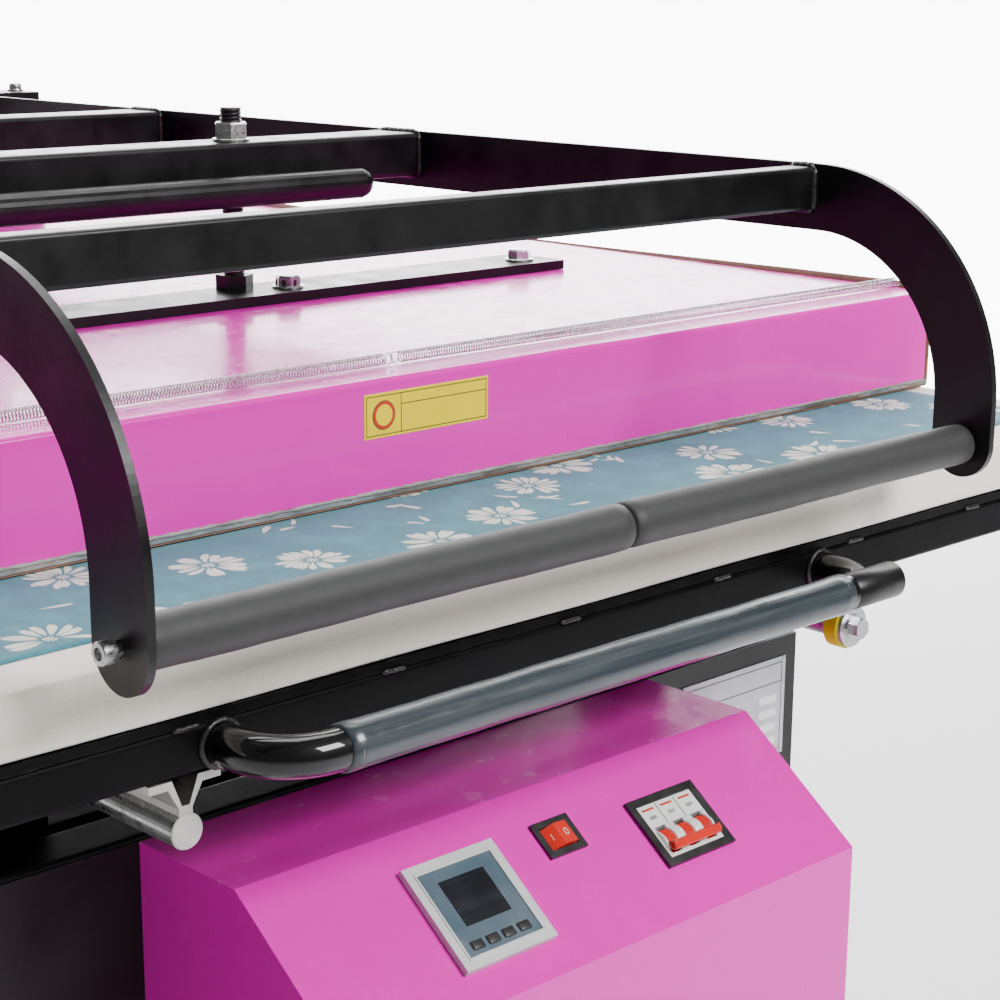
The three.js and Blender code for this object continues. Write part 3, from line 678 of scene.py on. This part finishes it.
def make_release_springs():
    """Two coils in a line over the cover, hooked together."""
    radius = 0.0036
    for name, hook_x in (("front", 47), ("rear", -60)):
        low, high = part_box(f"sheet_spring_{name}")
        y, z = (low.y + high.y) / 2, (low.z + high.z) / 2
        middle = hook_x * MM
        left, right = Vector((low.x + 0.004, y, z)), Vector((high.x - 0.004, y, z))
        a, b = Vector((middle - 0.007, y, z)), Vector((middle + 0.007, y, z))

        def hook(end, inward, sign, count=20):
            centre = end + Vector((inward, 0, 0)) + Vector((sign * 0.005, 0, 0))
            for i in range(count):
                t = math.pi + i * math.radians(17)
                yield centre + Vector((sign * math.cos(t), 0.25 * math.sin(2 * t), math.sin(t))) * radius

        coils = [helix(left, a, radius, 0.0023, 14), helix(b, right, radius, 0.0023, 14),
                 hook(a, -0.001, 1), hook(b, 0.001, -1),
                 hook(left, 0.001, -1, 14), hook(right, -0.001, 1, 14)]
        spring = wire_object(f"release_spring_{name}", coils, 0.0009, "spring_steel")
        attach(spring, "head")
        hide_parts(f"sheet_spring_{name}")


# ---- head: hangers, grip, welds ----
HANGER_BOLTS = {"front": 493, "rear": 865}  # depth of each hanger bar's row of bolts
HANGER_STUDS = {"front": 513, "rear": 885}
BOLT_X = (-445, -186, 186, 445)
STUD_X = (-148, 148)


def make_hanger_hardware():
    """Bolt heads on the hanger bars, and a washer and nut over and under each cross beam."""
    washer = [(0, 0.0148), (0.0004, 0.015), (0.002, 0.015), (0.0023, 0.0146)]
    nut = [(0, 0.0132), (0.001, 0.0139), (0.011, 0.0139), (0.0125, 0.013)]
    bm = bmesh.new()
    for name in ("front", "rear"):
        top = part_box(f"hanger_{name}")[0].z + 0.008
        line = FRONT + HANGER_BOLTS[name] * MM
        beam_low, beam_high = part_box(f"head_beam_{name}")
        for k, x in enumerate(BOLT_X):
            hex_bolt(bm, Vector((x * MM, line, top)), (0, 0, 1), 18, 7.8, 13, 0.4 + 0.5 * k)
        for k, x in enumerate(STUD_X):
            stud = Vector((x * MM, line + 0.020, 0))
            for z, up, turn in ((beam_high.z, 1, 0.2), (beam_low.z, -1, 0.7)):
                spot = stud + Vector((0, 0, z))
                lathe(bm, spot, (0, 0, up), washer)
                lathe(bm, spot + Vector((0, 0, up * 0.0023)), (0, 0, up), nut, 6, start=turn + k)
    new_object("hanger_hardware", bm, "steel", "head", True)


def make_stud_threads():
    bm = bmesh.new()
    for name in ("front", "rear"):
        low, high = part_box(f"hanger_{name}")
        y = FRONT + HANGER_STUDS[name] * MM
        for x in STUD_X:
            a = Vector((x * MM, y, low.z + 0.021))
            b = Vector((x * MM, y, high.z - 0.001))
            sweep(helix(a, b, 0.0079, 0.003, 16), 0.0009, 6, bm)
    new_object("stud_threads", bm, "black_plastic", "head")


def make_foam():
    """Two slightly uneven sleeves with rounded ends."""
    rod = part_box("grip_rod")
    y, z = (rod[0].y + rod[1].y) / 2, (rod[0].z + rod[1].z) / 2
    end = Vector((0.0016, 0, 0))
    count = 70
    for side, seed in (("left", 3), ("right", 8)):
        low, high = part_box(f"grip_foam_{side}")
        rng = random.Random(seed)
        full = (high.z - low.z) / 2
        points, radii = [], []
        for i in range(count + 1):
            s = i / count
            points.append(Vector((low.x + (high.x - low.x) * s, y, z + 0.0003 * math.sin(9 * s + seed))))
            waves = 0.00012 * math.sin(31 * s + seed) + 0.00005 * math.sin(77 * s)
            radii.append(full + (waves + rng.uniform(-0.00003, 0.00003)))
        for index, change in ((0, -0.0022), (1, -0.0004), (count - 1, -0.0004), (count, -0.0022)):
            radii[index] += change
        points[1], points[-2] = points[0] + end, points[-1] - end
        sleeve = new_object(f"foam_sleeve_{side}", sweep(points, radii, 40), "foam", "head")
        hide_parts(f"grip_foam_{side}")


def make_grip_screws():
    low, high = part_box("grip_rod")
    y, z = (low.y + high.y) / 2, (low.z + high.z) / 2
    bm = bmesh.new()
    for x, out in ((low.x, -1), (high.x, 1)):
        base = Vector((x - out * 0.0042, y, z))
        lathe(bm, base, (out, 0, 0), [(0, 0.0056), (0.0004, 0.0060), (0.0062, 0.0060), (0.0068, 0.0054),
                                      (0.0068, 0.0033), (0.0044, 0.0030)], 36)
    new_object("grip_screws", bm, "steel", "head", True)


def weld_around(bm, x, low, high, radius, seed):
    """Beads on the four sides of a bar's end, a millimetre in from x."""
    x = x - math.copysign(0.001, x)
    corners = [(low.y, low.z), (high.y, low.z), (high.y, high.z), (low.y, high.z)]
    for k, (a, b) in enumerate(zip(corners, corners[1:] + corners[:1])):
        weld(bm, (x, *a), (x, *b), radius, seed + k)


def make_welds():
    bm = bmesh.new()
    for node, radius in (("crossbar", 3.2), ("head_beam_front", 3.0), ("head_beam_rear", 3.0)):
        low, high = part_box(node)
        for x in (low.x, high.x):
            weld_around(bm, x, low, high, radius, 10)
    new_object("head_welds", bm, "weld", "head")

    bm = bmesh.new()
    low, high = TRAY
    for k, x in enumerate(range(-560, 561, 140)):
        for y, shift in ((low.y, 0), (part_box("tray_plate")[1].y, 20)):
            start = Vector(((x + shift) * MM, y, high.z))
            weld(bm, start, start + Vector((0.018, 0, 0)), 1.8, 30 + k)
    for x in (-PULL_HALF, PULL_HALF):
        circle = [at(x + 12.4 * math.cos(t), -0.6, 43 + 12.4 * math.sin(t)) for t in angles(60)]
        rng = random.Random(x)
        sweep(circle, [0.0021 + rng.uniform(-0.0004, 0.0004) for _ in circle], 10, bm, True)
    new_object("drawer_welds", bm, "weld", "drawer")

    bm = bmesh.new()
    for side in ("left", "right"):
        for part in ("front_leg", "rear_post"):
            low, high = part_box(f"{part}_{side}")
            a = Vector((low.x + 0.008, low.y + 0.008, 0.0105))
            b = Vector((high.x - 0.008, high.y - 0.008, 0.0105))
            weld(bm, a, (b.x, a.y, a.z), 2.6, 60)
            weld(bm, (a.x, b.y, a.z), b, 2.6, 61)
        low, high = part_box(f"side_beam_{side}")
        for y in (low.y, high.y):
            weld(bm, (low.x + 0.003, y, high.z), (high.x - 0.003, y, high.z), 2.4, 64)
    low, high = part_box("rear_beam")
    for x in (low.x, high.x):
        weld(bm, (x, low.y + 0.003, high.z), (x, low.y + 0.047, high.z), 2.4, 66)
    new_object("stand_welds", bm, "weld", "base")


# ---- drawer ----
SHEET_LOW, SHEET_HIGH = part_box("work_sheet")


def make_pad():
    """A firm felt block with softened edges and slightly wavy sides."""
    low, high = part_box("felt_pad")
    tall = (high.z - low.z) / MM
    levels = [(30, 0.02), (5, 0.02), (1.8, 0.5), (0.5, 2.2), (0.1, 6), (0.5, 11), (0.2, 17), (0.6, 23)]
    levels += [(0.2, tall - 6), (0.6, tall - 2.6), (1.8, tall - 0.7), (4.5, tall - 0.05), (12, tall),
               (60, tall)]
    bm = bmesh.new()
    slab(bm, low, high, 5, levels, 0.008, 0.0012)
    pad = new_object("felt_cushion", bm, "felt", "drawer")
    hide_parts("felt_pad")


def sheet_height(x, y):
    wave = math.sin(x * 17 + 1) * math.cos(y * 13) + 0.5 * math.sin(x * 41 + y * 29)
    return SHEET_LOW.z + 0.00042 + 0.00010 * wave


def make_cloth():
    low, high = SHEET_LOW, SHEET_HIGH
    nx, ny = 130, 104
    bm = bmesh.new()
    grid = []
    for j in range(ny + 1):
        row = []
        for i in range(nx + 1):
            x = low.x + 0.001 + (high.x - low.x - 0.002) * i / nx
            y = low.y + 0.001 + (high.y - low.y - 0.002) * j / ny
            row.append(bm.verts.new((x, y + 0.0006 * math.sin(x * 37) * (j == 0), sheet_height(x, y))))
        grid.append(row)
    skin_grid(bm, grid)
    cloth = new_object("work_cloth", bm, "cloth", "drawer")
    thicken(cloth, 0.0003)
    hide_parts("work_sheet")
    flowers = make_flowers()


def petal(bm, centre, angle, length, width, offset, rng):
    """One flat printed petal with a blunt, notched tip."""
    bend = rng.uniform(-0.25, 0.25)
    outline = ((0.0, 0.12), (0.3, 0.62), (0.62, 1.0), (0.88, 0.82), (1.0, 0.34))
    along = Vector((math.cos(angle), math.sin(angle), 0))
    across = Vector((-along.y, along.x, 0))
    left, right = [], []
    for s, w in outline:
        spine = centre + along * (offset + s * length) + across * (bend * s * s * length)
        left.append(spine + across * w * width / 2)
        right.append(spine - across * w * width / 2)
    notch = centre + along * (offset + length * 0.93) + across * (bend * length * 0.86)
    loop = left + [notch] + right[::-1]
    edge = 0.004
    inside = all(SHEET_LOW.x + edge < p.x < SHEET_HIGH.x - edge and
                 SHEET_LOW.y + edge < p.y < SHEET_HIGH.y - edge for p in loop)
    if inside:
        bm.faces.new([bm.verts.new((p.x, p.y, sheet_height(p.x, p.y) + 0.00022)) for p in loop])


def make_flowers():
    """Daisies strewn by a seeded rule, with loose petals between them."""
    rng = random.Random(11)
    bm = bmesh.new()
    placed = []

    def anywhere():
        return Vector((rng.uniform(SHEET_LOW.x, SHEET_HIGH.x), rng.uniform(SHEET_LOW.y, SHEET_HIGH.y), 0))

    tries = 0
    while len(placed) < 120 and tries < 6000:
        tries += 1
        p = anywhere()
        near = rng.uniform(0.045, 0.10)
        if any((p - q).length < near for q in placed):
            continue
        placed.append(p)
        size = rng.uniform(0.021, 0.031)
        count = rng.randint(13, 18)
        start = rng.uniform(0, 2 * math.pi)
        for k in range(count):
            angle = start + 2 * math.pi * k / count + rng.uniform(-0.09, 0.09)
            length = size * rng.uniform(0.62, 0.80)
            petal(bm, p, angle, length, size * rng.uniform(0.20, 0.27), size * 0.26, rng)
        for k in range(9):
            petal(bm, p, start + 0.7 * k, size * 0.15, size * 0.06, size * 0.02, rng)
    for _ in range(620):
        p = anywhere()
        if any((p - q).length < 0.036 for q in placed):
            continue
        angle, length = rng.uniform(0, 2 * math.pi), rng.uniform(0.012, 0.02)
        petal(bm, p, angle, length, rng.uniform(0.0035, 0.0055), 0, rng)
    return new_object("printed_petals", bm, "petals", "drawer")


def make_pull():
    """The bent pull tube with its open stub, and the film wound round its middle."""
    low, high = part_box("pull_handle")
    z, reach = (low.z + high.z) / 2, low.y + 0.0116
    half, bend = PULL_HALF * MM, 0.036
    points = [Vector((-half, FRONT - 0.0003, z)), Vector((-half, FRONT - 0.006, z))]
    for i in range(15):
        t = math.pi + math.radians(90 * i / 14)
        points.append(Vector((-half + bend + bend * math.cos(t), reach + bend + bend * math.sin(t), z)))
    side = len(points)
    points += [Vector((x, reach, z)) for x in (-0.15, -0.05, 0.05, 0.15)]
    points += [Vector((-p.x, p.y, p.z)) for p in reversed(points[:side])]
    pull = new_object("pull_tube", sweep(points, 0.0118, 32), "gloss_black", "drawer")
    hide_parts("pull_handle")

    bm = bmesh.new()
    stub = [(0, 0.0110), (0.002, 0.0122), (0.0488, 0.0122), (0.0490, 0.0120), (0.0490, 0.0106),
            (0.020, 0.0104)]
    lathe(bm, Vector((0.215, reach, z)), (1, 0, 0), stub, 40)
    new_object("pull_stub", bm, "black_paint", "drawer")

    low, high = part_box("pull_sleeve")
    rng = random.Random(5)
    count = 90
    path, radii = [], []
    for i in range(count + 1):
        s = i / count
        path.append(Vector((low.x + (high.x - low.x) * s, reach, z)))
        radii.append(0.0129 + 0.00012 * math.sin(40 * s) + rng.uniform(-0.00008, 0.00008))
    radii[0] = radii[-1] = 0.0121
    for k in (1, 2, count - 1, count - 2):
        radii[k] += 0.0003
    for p, q, sign in ((0, 1, 1), (count, count - 1, -1)):
        path[q] = path[p] + Vector((sign * 0.0007, 0, 0))
    sleeve = new_object("pull_film", sweep(path, radii, 40), "sleeve", "drawer")
    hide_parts("pull_sleeve")
    bm = bmesh.new()
    for x in (low.x + 0.006, high.x - 0.006):
        ring = [Vector((x, reach + 0.0131 * math.cos(t), z + 0.0131 * math.sin(t))) for t in angles(48)]
        sweep(ring, [0.00012 + 0.0002 * rng.random() for _ in ring], 6, bm, True)
    new_object("film_edges", bm, "sealant", "drawer")


def make_rail_end():
    """The sawn face of the left shaft."""
    low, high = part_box("rail_left")
    bm = bmesh.new()
    lathe(bm, Vector(((low.x + high.x) / 2, low.y + 0.0002, RAIL_Z)), (0, -1, 0),
          [(0, 0.0099), (0.0006, 0.0098), (0.0013, 0.0090), (0.0014, 0.004), (0.0010, 0.001)], 40)
    new_object("sawn_rail_end", bm, "bare_cut", "drawer")


# ---- counterbalance springs ----
def make_counter_springs():
    for side in ("left", "right"):
        low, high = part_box(f"counter_spring_{side}")
        x = (low.x + high.x) / 2
        foot = Vector((x, low.y + 0.0149, low.z + 0.002))
        tip = Vector((x, high.y - 0.0149, high.z - 0.002))
        along = (tip - foot).normalized()
        a, b = foot + along * 0.030, tip - along * 0.030

        def hook(start, up):
            for i in range(22):
                t = math.radians(-90 + 15 * i)
                out = along * (up * (0.013 + 0.011 * math.sin(t)))
                yield start + out + Vector((0.011 * math.cos(t), 0, 0))

        bm = bmesh.new()
        for points in (helix(a, b, 0.0125, 0.0047, 16), hook(a, -1), hook(b, 1)):
            sweep(points, 0.0019, 10, bm)
        spring = new_object(f"balance_coil_{side}", bm, "spring_steel")
        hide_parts(f"counter_spring_{side}")
        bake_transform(spring)


# ---- control panel: millimetres right, up the slope and out of the panel ----
RIDGE, LIP = Vector((34, -60)), Vector((-62, -131.5))
SLOPE = math.atan2(RIDGE.y - LIP.y, RIDGE.x - LIP.x)
PANEL = Matrix.Translation(at(0, RIDGE.x, RIDGE.y)) @ Matrix.Rotation(SLOPE, 4, "X") @ Matrix.Scale(MM, 4)
CASE_LEFT, CASE_TOP, CASE_SIZE = -118, -26, 72
BREAKER_X, BREAKER_Y = (71.7, 122.5), (-79.5, -40.4)
POLE = (BREAKER_X[1] - BREAKER_X[0]) / 3
BREAKER_HUB = Vector((0, BREAKER_Y[0] + 12.5, -5))
BREAKER_TURN, ROCKER_TURN = 0.55, -0.2  # how far each stands turned at rest, in radians


def on_panel(bm):
    bmesh.ops.transform(bm, matrix=PANEL, verts=bm.verts)
    return bm


def make_controller():
    """A lip round the window, a film with a dark display, and four keys."""
    lip, wall, floor = 5.5, 1.6, 4.4
    x0, x1 = CASE_LEFT + lip, CASE_LEFT + CASE_SIZE - lip
    y0, y1 = CASE_TOP - CASE_SIZE + lip, CASE_TOP - lip
    bm = bmesh.new()
    for left, right, near, far in ((x0, x1, y1 - wall, y1), (x0, x1, y0, y0 + wall),
                                   (x0, x0 + wall, y0 + 1.7, y1 - 1.7), (x1 - wall, x1, y0 + 1.7, y1 - 1.7)):
        rounded_box(bm, (left, near, floor), (right, far, 5.7), 0.4, 2)
    new_object("controller_lip", on_panel(bm), "grey_plastic", "base")
    bm = bmesh.new()
    rounded_box(bm, (x0 + 1.7, y0 + 1.7, 4.3), (x1 - 1.7, y1 - 1.7, 4.75), 0.15, 2)
    rounded_box(bm, (x0 + 12.5, y1 - 41, 4.5), (x1 - 12.5, y1 - 9.5, 4.95), 0.15, 2, 1)
    new_object("controller_face", on_panel(bm), "panel_film", "base", True, ("screen",))
    bm = bmesh.new()
    for k in range(4):
        x = CASE_LEFT + 12.5 + 12.4 * k
        rounded_box(bm, (x, CASE_TOP - 62, 4.5), (x + 9, CASE_TOP - 56, 6.2), 0.9, 3)
    new_object("controller_keys", on_panel(bm), "black_plastic", "base")


def make_rocker_marks():
    """A ring on the right half and a bar on the left half of the rocker."""
    turn = Matrix.Translation((3.75, -38.75, 0.6)) @ Matrix.Rotation(ROCKER_TURN, 4, "Y")
    ridge, edge, half, flat = 4.8, 1.3, 10.15, 0.8

    def on_key(x, y):
        return Vector((x, y, ridge - (ridge - edge) * (abs(x) - flat) / (half - flat)))

    bm = bmesh.new()
    sweep([on_key(5.4 + 1.5 * math.cos(t), 2.2 * math.sin(t)) for t in angles(32)], 0.24, 6, bm, True)
    sweep([on_key(-5.4, y) for y in (-2.2, -0.7, 0.7, 2.2)], 0.24, 6, bm)
    bmesh.ops.transform(bm, matrix=turn, verts=bm.verts)
    new_object("rocker_marks", on_panel(bm), "white_ink", "rocker", True)


def make_breaker_face():
    """Seams, marks, and the rounded shoulders beside each slot."""
    (x0, x1), (y0, y1) = BREAKER_X, BREAKER_Y
    bm = bmesh.new()
    for n in (1, 2):
        x = x0 + POLE * n
        rounded_box(bm, (x - 0.35, y0 + 23, 1.6), (x + 0.35, y1 - 0.5, 2.12), 0.05, 1)
    new_object("breaker_seams", on_panel(bm), "print_ink", "base", True)
    bm = bmesh.new()
    for n in range(3):
        x = x0 + POLE * n
        rounded_box(bm, (x + 3, y1 - 4.2, 1.9), (x + POLE - 3, y1 - 2.6, 2.1), 0.04, 1)
        rounded_box(bm, (x + 5.6, y1 - 11, 1.9), (x + POLE - 5.6, y1 - 8.4, 2.1), 0.04, 1, 1)
    new_object("breaker_marks", on_panel(bm), "red_ink", "base", True, ("sealant",))
    bm = bmesh.new()
    edges = [x0 + 2.3] + [x0 + POLE * (n + 0.5) + s for n in range(3) for s in (-4.6, 4.6)] + [x1 - 2.3]
    for a, b in zip(edges[::2], edges[1::2]):
        lathe(bm, Vector((a, BREAKER_HUB.y, BREAKER_HUB.z)), (1, 0, 0),
              [(0, 9.8), (0.3, 10.1), (b - a - 0.3, 10.1), (b - a, 9.8)], 48)
        rounded_box(bm, (a, y0 + 2.5, -4), (b, y0 + 22.5, 1.9), 0.1, 1)
    new_object("breaker_shoulders", on_panel(bm), "white_plastic", "base")


def make_breaker_handles():
    """Three ribbed toggles under a tie bar: half drums, clear of the slot's floor at both limits."""
    half, tie = 4.3, 3.4
    bm = bmesh.new()
    for n in range(3):
        x = BREAKER_X[0] + POLE * (n + 0.5)
        rounded_box(bm, (x - half, -2.4, 5.0), (x + half, 2.4, 12.4), 0.8, 2)
        drum = [(9.0 * math.sin(t), 9.0 * math.cos(t)) for t in (math.radians(5 * i) for i in range(-17, 18))]
        ring_solid(bm, [[Vector((side, *p)) for p in drum] for side in (x - half, x + half)])
        for k in range(-6, 7):
            ridge = bmesh.new()
            rounded_box(ridge, (x - 4.1, -0.5, 8.6), (x + 4.1, 0.5, 9.7), 0.3, 1)
            lean = Matrix.Rotation(math.radians(-13 * k), 4, "X")
            bmesh.ops.transform(ridge, matrix=lean, verts=ridge.verts)
            merge(bm, ridge)
    rounded_box(bm, (BREAKER_X[0] + tie, -3.1, 10.9), (BREAKER_X[1] - tie, 3.1, 15.9), 1.1, 3)
    turn = Matrix.Translation(BREAKER_HUB) @ Matrix.Rotation(BREAKER_TURN, 4, "X")
    bmesh.ops.transform(bm, matrix=turn, verts=bm.verts)
    new_object("breaker_handles", on_panel(bm), "red_plastic", "breaker_switch", True)


def make_nameplate():
    """Blank ruled fields and four rivets on the plate: no lettering."""
    low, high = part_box("nameplate")
    y = low.y
    margin, rule = 0.004, 0.0007
    bm = bmesh.new()

    def line(x0, x1, z0, z1, material=0):
        rounded_box(bm, (x0, y - 0.00018, z0), (x1, y + 0.0002, z1), 0.00006, 1, material)

    for z in (low.z + margin, high.z - margin - rule, high.z - 0.020):
        line(low.x + margin, high.x - margin, z, z + rule)
    for x in (low.x + margin, high.x - margin - rule):
        line(x, x + rule, low.z + margin, high.z - margin)
    for k in range(4):
        z = low.z + 0.0095 + 0.0115 * k
        for x0, x1 in ((low.x + 0.046, low.x + 0.066), (high.x - 0.030, high.x - 0.010)):
            line(x0, x1, z, z + 0.0062, 1)
    new_object("nameplate_fields", bm, "print_ink", "base", True, ("white_ink",))
    bm = bmesh.new()
    for x in (low.x + 0.0022, high.x - 0.0022):
        for z in (low.z + 0.0022, high.z - 0.0022):
            lathe(bm, Vector((x, y, z)), (0, -1, 0), [(0, 0.0016), (0.0005, 0.0014), (0.0009, 0.0006)], 16)
    new_object("nameplate_rivets", bm, "steel", "base")


# ---- stand hardware ----
def make_stand_hardware():
    """Foot screws, pillow-block bolts and bearing-block screws."""
    bm = bmesh.new()
    for side in ("left", "right"):
        for part in ("front_leg", "rear_post"):
            low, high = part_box(f"{part}_{side}")
            out = high.x if side == "right" else low.x
            inner = out - math.copysign(0.004, out)
            for y in (low.y + 0.004, high.y - 0.004):
                screw = [(0, 0.0036), (0.002, 0.0036), (0.003, 0.0028)]
                lathe(bm, Vector((inner, y, 0.0101)), (0, 0, 1), screw, 20)
        low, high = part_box(f"pivot_bearing_{side}")
        for x in (low.x + 0.011, high.x - 0.011):
            hex_bolt(bm, Vector((x, (low.y + high.y) / 2, high.z)), (0, 0, 1), 13, 6, 9, 0.2)
    new_object("stand_hardware", bm, "steel", "base")
    bm = bmesh.new()
    screw = [(0, 0.0042), (0.0035, 0.0042), (0.0042, 0.0038), (0.0042, 0.0022), (0.002, 0.002)]
    for name in ("front", "rear"):
        for side in ("left", "right"):
            low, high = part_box(f"bearing_block_{name}_{side}")
            middle = (low.x + high.x) / 2
            for dx in (-0.019, 0.019):
                for y in (low.y + 0.010, high.y - 0.010):
                    lathe(bm, Vector((middle + dx, y, RAIL_Z - 0.0005)), (0, 0, 1), screw, 24)
    new_object("bearing_screws", bm, "steel", "base")


# ---- stage ----
def stage_plane(name, size, matrix, color, glow=0.0):
    bm = bmesh.new()
    bmesh.ops.create_grid(bm, x_segments=2, y_segments=2, size=0.5)
    mesh = bpy.data.meshes.new(name)
    bm.to_mesh(mesh)
    bm.free()
    obj = bpy.data.objects.new(name, mesh)
    scene.collection.objects.link(obj)
    obj.matrix_world = matrix @ Matrix.Diagonal((*size, 1, 1))
    mat = bpy.data.materials.new(name)
    mat.use_nodes = True
    inputs = mat.node_tree.nodes["Principled BSDF"].inputs
    inputs["Base Color"].default_value = (*color, 1)
    inputs["Roughness"].default_value = 0.9
    inputs["Emission Color"].default_value = (1, 1, 1, 1)
    inputs["Emission Strength"].default_value = glow
    mesh.materials.append(mat)


def area_light(name, place, target, size, power):
    data = bpy.data.lights.new(name, "AREA")
    data.shape = "RECTANGLE"
    data.size, data.size_y = size
    data.energy = power
    light = bpy.data.objects.new(name, data)
    scene.collection.objects.link(light)
    place, target = Vector(place), Vector(target)
    aim = (target - place).to_track_quat("-Z", "Y")
    light.matrix_world = Matrix.Translation(place) @ aim.to_matrix().to_4x4()


def make_stage():
    stage_plane("floor", (16, 16), Matrix.Identity(4), (0.86, 0.86, 0.88))
    away = Matrix.Rotation(math.radians(-40), 4, "Z") @ Matrix.Rotation(math.radians(90), 4, "X")
    stage_plane("backdrop", (9, 5), Matrix.Translation((2.6, 3.4, 2.2)) @ away, (0.9, 0.9, 0.9), 9.0)
    world = bpy.data.worlds.new("studio")
    world.use_nodes = True
    inputs = world.node_tree.nodes["Background"].inputs
    inputs["Color"].default_value = (1, 1, 1, 1)
    inputs["Strength"].default_value = 0.16
    scene.world = world
    area_light("key", (0.7, -3.0, 2.9), (0, -0.2, 0.8), (1.6, 1.2), 165)
    area_light("top", (0.6, 0.4, 3.6), (0.2, 0, 0.9), (2.2, 1.6), 65)


for make in (
    make_cover, make_label, make_sealant, make_release_cloth, make_release_springs,
    make_hanger_hardware, make_stud_threads, make_foam, make_grip_screws, make_welds, make_pad,
    make_cloth, make_pull, make_rail_end, make_counter_springs, make_controller, make_rocker_marks,
    make_breaker_face, make_breaker_handles, make_nameplate, make_stand_hardware, make_stage,
):
    make()
